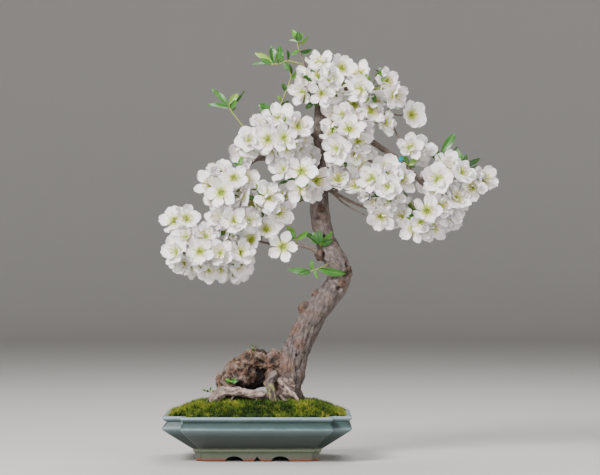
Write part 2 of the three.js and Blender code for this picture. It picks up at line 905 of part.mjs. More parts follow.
// Where each flower of a spray stands and looks, its radius and its turn
function bloomsOf(name) {
  const { hub, reach, front = [], rear = 0 } = SPRAYS[name];
  const seed = Object.keys(SPRAYS).indexOf(name) * 40;
  const [limb, number] = hub;
  const root = vec(...LIMBS[limb][number]);
  const blooms = front.map(([x, z], i) => {
    const aside = Math.hypot(x - root.x, z - root.z);
    const least = reach * (0.5 + 0.3 * draw(seed + i));
    const ahead = Math.sqrt(Math.max(0, reach * reach - aside * aside));
    const middle = vec(x, root.y - Math.max(ahead, least), z);
    return { middle, facing: middle.clone().sub(root).normalize().add(vec(0, -0.7, 0.1)).normalize() };
  });
  for (let i = 0; i < rear; i++) {
    const turn = (i + draw(seed + 30 + i) * 0.5) * ((2 * Math.PI) / rear) + seed;
    const facing = vec(0.75 * Math.cos(turn), 0.75, 0.75 * Math.sin(turn) + 0.1).normalize();
    blooms.push({ middle: root.clone().addScaledVector(facing, reach), facing });
  }
  return blooms.map((bloom, i) => ({
    ...bloom,
    name,
    nearest: Math.abs(bloom.middle.y - root.y) * 0.6,
    root,
    radius: lerp(BLOOM.smallest, BLOOM.largest, draw(seed + 10 + i)),
    turn: draw(seed + 20 + i) * 2 * Math.PI,
    cup: BLOOM.cup * (0.7 + 0.8 * draw(seed + 25 + i)),
  }));
}

// All the flowers, those that overlap as seen from the front moved apart in depth until each stands clear
function spreadBlooms() {
  const blooms = Object.keys(SPRAYS).flatMap(bloomsOf);
  for (let round = 0; round < SPREAD.rounds; round++)
    blooms.forEach((a, i) =>
      blooms.slice(i + 1).forEach((b) => {
        const apart = Math.hypot(a.middle.x - b.middle.x, a.middle.z - b.middle.z);
        const close = 1 - apart / (SPREAD.reach * (a.radius + b.radius));
        const depth = a.middle.y - b.middle.y;
        const lack = SPREAD.depth * Math.min(1, 2 * close) - Math.abs(depth);
        if (close <= 0 || lack <= 0) return;
        const move = Math.sign(depth || 1) * lack * SPREAD.share;
        shiftInDepth(a, move);
        shiftInDepth(b, -move);
      }),
    );
  return blooms;
}

// Moves a flower in depth, but no nearer to its branch than it may stand
function shiftInDepth(bloom, move) {
  const from = bloom.middle.y + move - bloom.root.y;
  const side = Math.sign(bloom.middle.y - bloom.root.y);
  bloom.middle.y = bloom.root.y + side * Math.max(side * from, bloom.nearest);
}

// One flower: five petals in a shallow cup round a tuft, thinning towards their edges, on a stalk that runs
// to the spur
function bloomSolid({ middle, facing, radius, turn, cup }, spur, grow) {
  const lay = new THREE.Quaternion().setFromUnitVectors(vec(0, 0, 1), facing);
  const sector = (2 * Math.PI) / PETALS;
  const wide = radius + grow;
  const spot = (away, angle, height) =>
    vec(away * Math.cos(angle + turn), away * Math.sin(angle + turn), height)
      .applyQuaternion(lay)
      .add(middle);
  const behind = spur.clone().addScaledVector(spur.clone().sub(middle).normalize(), SPUR.radius * 0.8);
  const side = (middlePoint, throat, up) => {
    const points = [middlePoint];
    for (let i = 0; i < PETALS; i++) {
      const lift = cup * radius * (1 + 0.3 * Math.sin(i * 2.4 + turn));
      points.push(
        spot(throat + grow, (i + 0.5) * sector, up * (BLOOM.petalThick / 2 + grow)),
        spot(wide, i * sector - BLOOM.shoulder, lift + up * grow),
        spot(wide, i * sector + BLOOM.shoulder, lift * 0.92 + up * grow),
        spot(BLOOM.notch * wide, (i + 0.5) * sector, cup * radius * 0.55 + up * grow),
      );
    }
    return points;
  };
  const points = [
    ...side(spot(0, 0, BLOOM.tuft * radius + grow), BLOOM.throat * radius, 1),
    ...side(behind, BLOOM.calyx, -1),
  ];
  const shift = points.length / 2;
  const triangles = [];
  for (let i = 0; i < PETALS; i++) {
    const [here, before] = [1 + 4 * i, 1 + 4 * ((i + PETALS - 1) % PETALS)];
    const [left, right, notch, notchBefore] = [here + 1, here + 2, here + 3, before + 3];
    const faces = [
      [0, before, here],
      [before, notchBefore, left],
      [before, left, right],
      [before, right, here],
      [here, right, notch],
    ];
    triangles.push(...faces, ...faces.map((face) => face.toReversed().map((corner) => corner + shift)));
    for (const [a, b] of [[notchBefore, left], [left, right], [right, notch]])
      triangles.push([a, a + shift, b + shift], [a, b + shift, b]);
  }
  return solidOf(closedGeometry(points, triangles));
}

const BLOOMS = spreadBlooms();

// Where a spray's spur stands on the side of its branch that the flowers are on
function spurOf(name) {
  const [limb, number] = SPRAYS[name].hub;
  const points = LIMBS[limb];
  const [x, y, z, radius] = points[number];
  const root = vec(x, y, z);
  const away = vec(0, 0, 0);
  for (const bloom of BLOOMS) if (bloom.name === name) away.add(bloom.middle.clone().sub(root));
  if (number + 1 < points.length) {
    const along = vec(...points[number + 1]).sub(vec(...points[number - 1])).normalize();
    away.addScaledVector(along, -away.dot(along));
  }
  return root.addScaledVector(away.normalize(), radius + SPUR.radius * 0.9 + CLEAR);
}

function spraySolid(name, grow) {
  const spur = spurOf(name);
  const knob = new THREE.OctahedronGeometry(SPUR.radius + grow * 1.7, 0);
  knob.rotateX(0.6).translate(...spur.toArray());
  const flowers = BLOOMS.filter((bloom) => bloom.name === name);
  return union([solidOf(knob), ...flowers.map((bloom) => bloomSolid(bloom, spur, grow))]);
}

// Leaves

// One leaf blade, folded along its rib and drooping towards its tip, growing from a place along a direction
function leafSolid(base, along, upward, length, grow) {
  const out = along.clone().normalize();
  const aside = out.clone().cross(upward).normalize();
  const up = aside.clone().cross(out).normalize();
  const width = LEAF.width * length + grow;
  const spot = (share, across, height) => {
    const rise = LEAF.fold * width * Math.abs(across) * 4 - LEAF.droop * length * share * share;
    return base
      .clone()
      .addScaledVector(out, share * length)
      .addScaledVector(aside, across * width)
      .addScaledVector(up, height + rise);
  };
  const outline = [[-0.06, 0], [0.38, 0.5], [0.74, 0.4], [1, 0], [0.74, -0.4], [0.38, -0.5]];
  const side = (up) => [
    ...outline.map(([share, across]) => spot(share, across, up * grow)),
    spot(0.5, 0, up * (LEAF.thick / 2 + grow)),
  ];
  const points = [...side(1), ...side(-1)];
  const rib = outline.length;
  const shift = rib + 1;
  const triangles = outline.flatMap((_, i) => {
    const next = (i + 1) % rib;
    return [
      [rib, i, next],
      [rib + shift, next + shift, i + shift],
      [i + shift, next + shift, next],
      [i + shift, next, i],
    ];
  });
  return solidOf(closedGeometry(points, triangles));
}

function shootSolid(name, grow) {
  const { stem, radius, blades = [], leaves = 0, size, spread } = SHOOTS[name];
  const seed = 2000 + Object.keys(SHOOTS).indexOf(name) * 20;
  const points = stem.map(([x, y, z]) => [x, y, z, radius]);
  const curve = new THREE.CatmullRomCurve3(stem.map((p) => vec(...p)), false, "centripetal");
  const solids = [limbSolid(points, 3, 30, 0, grow)];
  for (const [share, x, z, back, turn] of blades) {
    const base = curve.getPointAt(share);
    const out = vec(x, base.y + back, z).sub(base);
    const face = vec(0, -1, 0).applyAxisAngle(out.clone().normalize(), THREE.MathUtils.degToRad(turn));
    solids.push(leafSolid(base, out, face, out.length(), grow));
  }
  for (let i = 0; i < leaves; i++) {
    const share = 1 - 0.6 * (i / leaves);
    const base = curve.getPointAt(share);
    const tangent = curve.getTangentAt(share);
    const aside = vec(Math.cos(i * GOLDEN_ANGLE + seed), Math.sin(i * GOLDEN_ANGLE + seed), 0.2);
    aside.addScaledVector(tangent, -aside.dot(tangent)).normalize();
    const lean = THREE.MathUtils.degToRad(spread * (0.75 + 0.5 * draw(seed + i)));
    const out = tangent.clone().multiplyScalar(Math.cos(lean)).addScaledVector(aside, Math.sin(lean));
    const length = size * (0.7 + 0.3 * draw(seed + 10 + i));
    solids.push(leafSolid(base.addScaledVector(aside, radius * 0.25), out, tangent, length, grow));
  }
  return union(solids);
}

// Materials and the tree

const finish = (color, roughness, metalness = 0) =>
  new THREE.MeshStandardMaterial({ color, roughness, metalness });
const MATERIALS = {
  glaze: finish(0x8fa5a3, 0.25),
  plastic: finish(0x1c1d1c, 0.6),
  soil: finish(0x3a2c20, 0.95),
  moss: finish(0x6f7d1e, 0.95),
  bark: finish(0x77675f, 0.85),
  tape: finish(0x1f7f86, 0.5),
  petal: finish(0xf6f2ee, 0.55),
  leaf: finish(0x3f7d22, 0.5),
};

const tree = new THREE.Group();
const placed = [];

// Adds a piece after cutting away whatever stands closer than the gap to what is there already
function place(name, material, build, reach = placed) {
  let solid = build(0);
  for (const other of reach) {
    if (solid.intersect(other.grown()).volume() > 1e-6) solid = solid.subtract(other.grown());
  }
  solid = largestBody(solid);
  let kept = null;
  const grown = () => (kept ??= build(CLEAR));
  placed.push({ name, grown });
  if (reach !== placed) reach.unshift({ name, grown });
  const mesh = new THREE.Mesh(geometryOf(solid), MATERIALS[material]);
  mesh.name = name;
  tree.add(mesh);
}

place("tree_wood", "bark", woodSolid);
place("branch_tie", "tape", tieSolid);
for (const name of Object.keys(SHOOTS)) place(`leaves_${name}`, "leaf", (grow) => shootSolid(name, grow));
for (const name of Object.keys(SPRAYS)) place(`blossom_${name}`, "petal", (grow) => spraySolid(name, grow));
const planted = placed.filter(({ name }) => name === "tree_wood" || name.startsWith("leaves_burl"));
place("drain_mesh_left", "plastic", (grow) => drainMeshSolid(-1, grow), planted);
place("drain_mesh_right", "plastic", (grow) => drainMeshSolid(1, grow), planted);
place("soil", "soil", soilSolid, planted);
place("moss", "moss", mossSolid, planted);
place("pot", "glaze", potSolid, []);

const box = new THREE.Box3().setFromObject(tree);
tree.position.set(-(box.min.x + box.max.x) / 2, -(box.min.y + box.max.y) / 2, 0);

export default tree;
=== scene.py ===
"""A Japanese quince bonsai in flower, in a celadon pot with notched corners.

The add-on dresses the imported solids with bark, blossom, leaves, moss, soil and glaze. The tables below are
in millimetres from the middle of the pot's foot, +Z up and the front of the tree towards -Y; to_scene
turns them into the frame's metres.
"""

import json
import math

import bmesh
import bpy
import numpy as np
from bpy.props import FloatProperty, FloatVectorProperty, IntProperty, PointerProperty
from mathutils import Matrix, Quaternion, Vector, kdtree, noise

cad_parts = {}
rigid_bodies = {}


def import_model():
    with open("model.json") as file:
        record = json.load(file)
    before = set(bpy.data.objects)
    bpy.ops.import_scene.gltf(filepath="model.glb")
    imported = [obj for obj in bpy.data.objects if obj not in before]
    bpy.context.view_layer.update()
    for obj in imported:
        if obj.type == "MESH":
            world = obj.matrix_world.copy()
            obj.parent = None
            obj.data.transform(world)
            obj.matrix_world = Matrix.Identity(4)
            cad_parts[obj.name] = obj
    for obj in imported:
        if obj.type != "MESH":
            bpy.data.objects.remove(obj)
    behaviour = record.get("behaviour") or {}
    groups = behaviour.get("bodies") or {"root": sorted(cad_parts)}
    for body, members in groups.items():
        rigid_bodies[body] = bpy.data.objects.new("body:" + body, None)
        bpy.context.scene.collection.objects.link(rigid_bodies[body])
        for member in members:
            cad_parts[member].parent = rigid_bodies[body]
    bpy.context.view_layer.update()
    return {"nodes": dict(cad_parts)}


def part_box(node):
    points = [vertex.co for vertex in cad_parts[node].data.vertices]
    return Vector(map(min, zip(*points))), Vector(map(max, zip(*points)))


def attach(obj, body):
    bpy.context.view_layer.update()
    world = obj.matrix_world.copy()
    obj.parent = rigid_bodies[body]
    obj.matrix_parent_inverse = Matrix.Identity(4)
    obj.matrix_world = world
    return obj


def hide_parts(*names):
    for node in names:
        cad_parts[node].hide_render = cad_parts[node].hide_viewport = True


bl_info = {
    "name": "Japanese quince bonsai",
    "version": (1, 0, 0),
    "blender": (4, 5, 0),
    "location": "3D View > Sidebar > Bonsai",
    "description": "Dresses the frame of a quince bonsai with bark, blossom, leaves, moss and glaze",
    "category": "Object",
}

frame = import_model()

MM = 0.001
GOLDEN_ANGLE = math.pi * (3 - math.sqrt(5))


def pot_middle():
    """Where the middle of the pot's foot stands in the frame, in millimetres."""
    low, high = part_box("pot")
    middle = (low + high) / 2 / MM
    return Vector((middle.x, middle.y, 0))


SHIFT = pot_middle()


def to_scene(point):
    """A point of the tables, in the frame's metres."""
    return (Vector(point[:3]) + SHIFT) * MM


# Sizes

POT = {"width": 270, "depth": 205, "height": 66, "wall": 8, "floor": 22}
NOTCH = {"x": 27, "y": 22, "shrink_x": 0.39, "shrink_y": 0.3}
# Height, inset from the widest line, and distance in from the outer face, from the recess under the foot,
# up the outside, over the lip and down the inside to the floor
POT_PROFILE = [
    (13.5, 46, 9), (0, 46, 9), (0, 46, 0), (11.5, 46, 0), (13, 45, 0), (14, 43, 0), (17.5, 43, 0),
    (18.5, 41, 0), (45, 2.5, 0), (47.5, 0, 0), (49.5, 0, 0), (57, 5.5, 0), (58.2, 6.5, 0), (59.4, 3.5, 0),
    (63, 0, 0), (64.8, 0.6, 0), (66, 2.5, 0), (66, 2, 8), (56, 2, 8), (45, 4, 8), (22, 37.5, 8),
]
ARCHES = {"width": 26, "height": 7.5, "from_middle": 33, "middle_width": 13.5, "middle_height": 7.2}
DRAIN = {"radius": 11, "from_middle": 45}
# Heights of the soil's edge and crown, of the moss on it and of the rim; the inset and gap of the mouth; how
# wide the moss's roll down to the rim is, and about how far the mouth reaches from its middle
GROUND = {
    "edge": 58, "crown": 19, "moss": 6, "rim": 65,
    "mouth_inset": 2, "gap": 0.3, "roll": 42, "half": 105,
}

# The flowers' smallest and largest radius, their petals and how deep they cup
BLOOM = {"smallest": 18, "largest": 21.8, "petals": 5, "cup": 0.3}
# Sprays whose flowers have five petals alone
SINGLE = {"lone_left", "left_tip", "lone_right", "left_inner_low"}
# Where the tie shows from the front: x and z, and how far young flowers keep from it
TIE_SEEN = (207.5, 427, 22)
# How far young flowers keep from the tip of a leafy shoot, as seen from the front
SHOOT_SEEN = 19
# Sprays whose flowers stand nearer to the spur than this have no young flowers or small leaves
LEAST_REACH = 14
# Flowers that overlap from the front: how often they are moved apart, how far they end up in depth, and the
# share of what is lacking that each move makes up
SPREAD = {"rounds": 40, "depth": 17, "share": 0.25}
# Length of a flower spur
SPUR = 4.6
# How many shapes of leaf and of moss sprig there are
LEAVES, SPRIGS = 6, 4
# Above this height the trunk's lumps are stubs and scars, and below it they are the burl
STUBS_ABOVE = 190
# Holes and healed scars in the trunk's bark, sunk in, with painted shade darkening each hole: (x, y, z,
# radius)
HOLES = [
    (129, -13, 281, 6.5), (127, -15, 266, 8), (94, -10, 297, 6), (87, -14, 348, 4.5), (96, -14, 322, 3),
    (117, -19, 246, 6), (66, -19, 196, 4), (56, -20, 150, 4), (80, -18, 226, 3.5),
]
# The reddish flaking patches: (x, y, z, radius)
STAINS = [(54, -12, 188, 15), (40, -14, 136, 22), (60, -18, 166, 12)]
# Thin roots that hang from the thick ones, as points (x, y, z, radius)
ROOTLETS = [
    [(-32, -27, 96, 1.4), (-37, -31, 88, 1.2), (-42, -31, 78, 0.9)],
    [(32, -20, 92, 2.6), (43, -28, 82, 2.5), (54, -30, 70, 2.2)],
    [(24, -16, 100, 2.2), (28, -26, 88, 2), (40, -32, 72, 1.8)],
    [(2, -22, 94, 1.3), (-2, -28, 86, 1.1), (-3, -29, 76, 0.9)],
]
# The photograph's view: the middle of its picture across and up, and its focal length and width in pixels
VIEW = {"across": 61.1, "up": 320, "focal": 2622, "width": 600}
# The studio's bowl: radius of its flat floor, radius of its bend and height of its wall in metres, and how
# many sides it has
STUDIO = {"floor": 4.4, "bend": 1.4, "wall": 5.0, "sides": 72}

# The wood, limb by limb, each as points (x, y, z, radius) that its middle line runs through
LIMBS = {
    "trunk": [
        (40, 5, 46, 12), (41, 5, 84, 13), (43, 3, 100, 18), (46, 1, 120, 21), (50, 0, 140, 20),
        (57, 0, 162, 19), (69, 0, 186, 18.5), (85, -1, 213, 17), (103, -2, 236, 16.8),
        (117, -2, 258, 16.5), (116, -2, 280, 16.2), (105, 0, 300, 15.2), (97, 0, 318, 13.8),
        (92, 0, 342, 13.6), (89, 0, 370, 13.2), (89, 1, 396, 11.6), (93, 3, 422, 9), (93, 4, 442, 8),
        (89, 3, 464, 7.2), (89, 1, 490, 6.8), (90, 0, 516, 6), (92, -2, 534, 4),
    ],
    "right_main": [
        (90, 2, 502, 4.4), (108, -2, 492, 4.8), (128, -6, 484, 4.7), (164, -12, 459, 4.3),
        (205, -16, 431, 4), (232, -18, 404, 3.6), (254, -20, 381, 3.1), (266, -22, 362, 2.2),
    ],
    "right_tip": [(232, -18, 404, 3), (262, -20, 403, 2.8), (290, -20, 398, 2.4), (311, -16, 390, 1.8)],
    "right_hanging": [(250, -20, 385, 2.6), (243, -26, 366, 2.4), (236, -28, 346, 2)],
    "right_inner": [(205, -16, 431, 2.8), (197, -22, 412, 2.6), (184, -22, 392, 2.2)],
    "lower_right": [
        (92, 0, 394, 3.4), (112, -8, 384, 2.6), (136, -12, 371, 2.3), (160, -16, 362, 2.2),
        (192, -20, 357, 2), (214, -22, 350, 1.6),
    ],
    "lower_right_twin": [(104, -5, 388, 1.6), (128, -6, 367, 1.2), (156, -12, 352, 1)],
    "middle_right": [(92, 2, 450, 3.2), (110, -10, 449, 2.8), (128, -16, 452, 2.2)],
    "crown_right": [(90, 0, 512, 3.4), (112, -2, 530, 3.2), (138, -5, 537, 2.8), (165, -6, 538, 2.2)],
    "right_twig": [(128, -6, 484, 2.4), (157, -5, 496, 2.1), (186, -4, 499, 1.8), (211, -2, 497, 1.5)],
    "right_bare_twig": [(186, -4, 499, 1.5), (197, -7, 479, 1.3), (205, -11, 460, 1.3), (219, -14, 440, 1.5)],
    "left_main": [
        (92, 3, 421, 5.6), (56, -2, 425, 4.7), (20, -6, 434, 4.3), (-1, -8, 434, 4.1), (-19, -10, 422, 3.9),
        (-43, -12, 389, 3.4), (-66, -14, 350, 3), (-86, -16, 312, 2.6), (-88, -16, 294, 2),
    ],
    "left_inner": [(-22, -10, 419, 2.6), (-10, -16, 394, 2.4), (8, -18, 368, 2)],
    "left_middle": [(-66, -14, 350, 2.4), (-52, -18, 342, 2.2), (-38, -20, 337, 1.9)],
    "left_under": [(-84, -16, 316, 2.4), (-66, -20, 302, 2.2), (-44, -20, 291, 1.9)],
    "left_tip": [(-86, -16, 312, 2), (-100, -15, 326, 1.8), (-112, -13, 337, 1.5)],
    "left_spur": [(56, -2, 425, 2.8), (60, -10, 414, 2.4), (62, -16, 404, 2.1)],
    "left_low": [
        (96, -5, 288, 3.4), (85, -13, 300, 3), (72, -15, 306, 2.8), (57, -16, 309, 2.6),
        (36, -16, 308, 2.2), (4, -18, 314, 1.9),
    ],
    "left_upper": [
        (89, 2, 470, 3.7), (62, -8, 463, 3.1), (37, -12, 462, 2.7), (12, -14, 459, 2.2), (-10, -15, 454, 1.8),
    ],
    "crown_left": [(90, 0, 512, 3.2), (76, 4, 541, 2.6), (68, 6, 571, 2), (60, 7, 590, 1.5)],
    "back_low": [(90, 8, 386, 4), (55, 38, 374, 3.3), (12, 54, 370, 2.7), (-30, 56, 378, 2)],
    "back_left": [(89, 4, 462, 3.4), (62, 34, 468, 2.8), (36, 50, 466, 2.2)],
    "back_right": [
        (93, 5, 440, 3.8), (116, 36, 450, 3.1), (142, 56, 452, 2.6), (168, 60, 428, 2.3), (184, 58, 400, 2),
    ],
    "back_crown": [(90, 1, 508, 3), (100, 26, 526, 2.4), (110, 42, 538, 2)],
    "back_tip": [(232, -18, 404, 2.6), (252, 14, 408, 2.3), (266, 38, 402, 2)],
    "root_left": [
        (34, -8, 92, 6.4), (14, -20, 92, 5.6), (-10, -26, 95, 5.6), (-34, -28, 98, 6.2),
        (-50, -27, 98, 7), (-62, -24, 88, 7.6), (-70, -20, 68, 8),
    ],
    "root_mossy": [
        (28, -8, 122, 6), (18, -24, 112, 5), (20, -31, 97, 5.4), (24, -32, 82, 4.4), (25, -30, 64, 4),
    ],
    "root_outer": [(30, -12, 116, 4), (49, -24, 97, 3.4), (60, -28, 80, 3.4), (64, -29, 64, 3.2)],
    "root_right": [(50, 6, 98, 10), (62, 22, 82, 7.5), (72, 36, 60, 6)],
    "root_back": [(36, 8, 104, 12), (24, 28, 86, 9), (14, 44, 62, 7)],
    "burl_foot": [(-18, 12, 124, 15), (-24, 24, 98, 15), (-26, 32, 60, 13)],
    "burl_wall": [(40, 16, 120, 15), (10, 24, 122, 19), (-18, 20, 114, 18)],
}
# The old rotten burl beside the trunk: lumps as (x, y, z, half width, half depth, half height)
BURL = [
    (-44, 0, 108, 16, 17, 17), (-26, 2, 123, 20, 20, 22), (-4, 4, 143, 23, 19, 13), (22, 4, 141, 20, 17, 13),
    (25, 0, 120, 14, 14, 22),
]
# Pruning scars and stubs on the trunk, in the same form
KNOTS = [
    (127, -6, 270, 8, 9, 10), (121, -16, 254, 5, 4, 5), (92, -13, 362, 5, 3, 5), (89, -12, 294, 6, 5, 7),
    (86, -3, 238, 7, 6, 6), (69, -3, 217, 9, 8, 9),
]
# Flower sprays: the limb and the number of its point that the spur sits on, how far the flowers stand from
# it, the middles (x, z) of a front spray's flowers, and how many flowers a spray at the back has. The two
# flowers of outer_right stand 1 and 8 mm off their solids, so that the tie under them shows.
SPRAYS = {
    "crown": {
        "hub": ("trunk", 21), "reach": 24,
        "front": [(104, 547), (76, 551), (92, 527), (121, 564), (89, 571), (66, 530)],
    },
    "crown_right": {
        "hub": ("crown_right", 3), "reach": 20,
        "front": [(168, 518), (147, 556), (186, 545), (197, 525), (149, 534), (139, 512)],
    },
    "upper_right": {
        "hub": ("right_main", 2), "reach": 24, "front": [(112, 494), (163, 502), (137, 488), (184, 486)],
    },
    "lone_right": {"hub": ("right_twig", 3), "reach": 12, "front": [(222, 497)]},
    "inner_right": {
        "hub": ("middle_right", 2), "reach": 24,
        "front": [(108, 470), (144, 457), (114, 447), (144, 429), (131, 474)],
    },
    "below_crown": {"hub": ("lower_right", 1), "reach": 22, "front": [(118, 403), (116, 424)]},
    "middle_right": {
        "hub": ("right_inner", 2), "reach": 26,
        "front": [(187, 392), (172, 372), (177, 350), (164, 404), (184, 418), (206, 403)],
    },
    "under_right": {"hub": ("lower_right", 3), "reach": 20, "front": [(143, 394), (190, 365)]},
    "outer_right": {"hub": ("right_bare_twig", 3), "reach": 17, "front": [(234, 446), (219, 448)]},
    "right_end": {
        "hub": ("right_tip", 1), "reach": 24, "front": [(281, 396), (292, 413), (258, 404), (272, 424)],
    },
    "far_right": {"hub": ("right_tip", 3), "reach": 16, "front": [(308, 392), (326, 403)]},
    "right_droop": {"hub": ("right_main", 7), "reach": 16, "front": [(284, 376), (272, 351)]},
    "lower_right": {
        "hub": ("right_hanging", 2), "reach": 22,
        "front": [(224, 334), (250, 334), (241, 358), (208, 350), (262, 365)],
    },
    "upper_left": {
        "hub": ("left_upper", 2), "reach": 26,
        "front": [(38, 461), (16, 461), (32, 440), (32, 490), (8, 482), (57, 479), (59, 453)],
    },
    "left_shoulder": {"hub": ("left_upper", 4), "reach": 14, "front": [(-11, 459), (-19, 443)]},
    "heart": {"hub": ("left_main", 1), "reach": 18, "front": [(70, 437)]},
    "below_heart": {
        "hub": ("left_spur", 2), "reach": 22, "front": [(38, 417), (63, 414), (62, 391), (84, 402)],
    },
    "left_arm": {
        "hub": ("left_main", 5), "reach": 24,
        "front": [(-52, 410), (-34, 405), (-51, 384), (-18, 404), (-68, 396)],
    },
    "left_hollow": {
        "hub": ("left_inner", 2), "reach": 22,
        "front": [(-6, 366), (15, 378), (38, 378), (-24, 380), (30, 356)],
    },
    "left_middle": {
        "hub": ("left_middle", 2), "reach": 20, "front": [(-56, 348), (-34, 343), (-40, 324), (-14, 344)],
    },
    "left_inner_low": {"hub": ("left_low", 5), "reach": 15, "front": [(-8, 317), (12, 331)]},
    "lone_left": {"hub": ("left_low", 4), "reach": 11, "front": [(36, 307)]},
    "left_low": {
        "hub": ("left_main", 8), "reach": 24,
        "front": [(-82, 300), (-96, 280), (-115, 300), (-102, 320), (-74, 321), (-70, 274)],
    },
    "left_under": {
        "hub": ("left_under", 2), "reach": 18, "front": [(-52, 297), (-46, 276), (-24, 299), (-26, 281)],
    },
    "left_tip": {"hub": ("left_tip", 2), "reach": 11, "front": [(-120, 345), (-103, 347)]},
    "back_low_inner": {"hub": ("back_low", 2), "reach": 20, "rear": 3},
    "back_low_outer": {"hub": ("back_low", 3), "reach": 19, "rear": 3},
    "back_left": {"hub": ("back_left", 2), "reach": 20, "rear": 3},
    "back_right_upper": {"hub": ("back_right", 2), "reach": 20, "rear": 3},
    "back_right_lower": {"hub": ("back_right", 4), "reach": 20, "rear": 3},
    "back_crown": {"hub": ("back_crown", 2), "reach": 19, "rear": 3},
    "back_tip": {"hub": ("back_tip", 2), "reach": 19, "rear": 2},
}
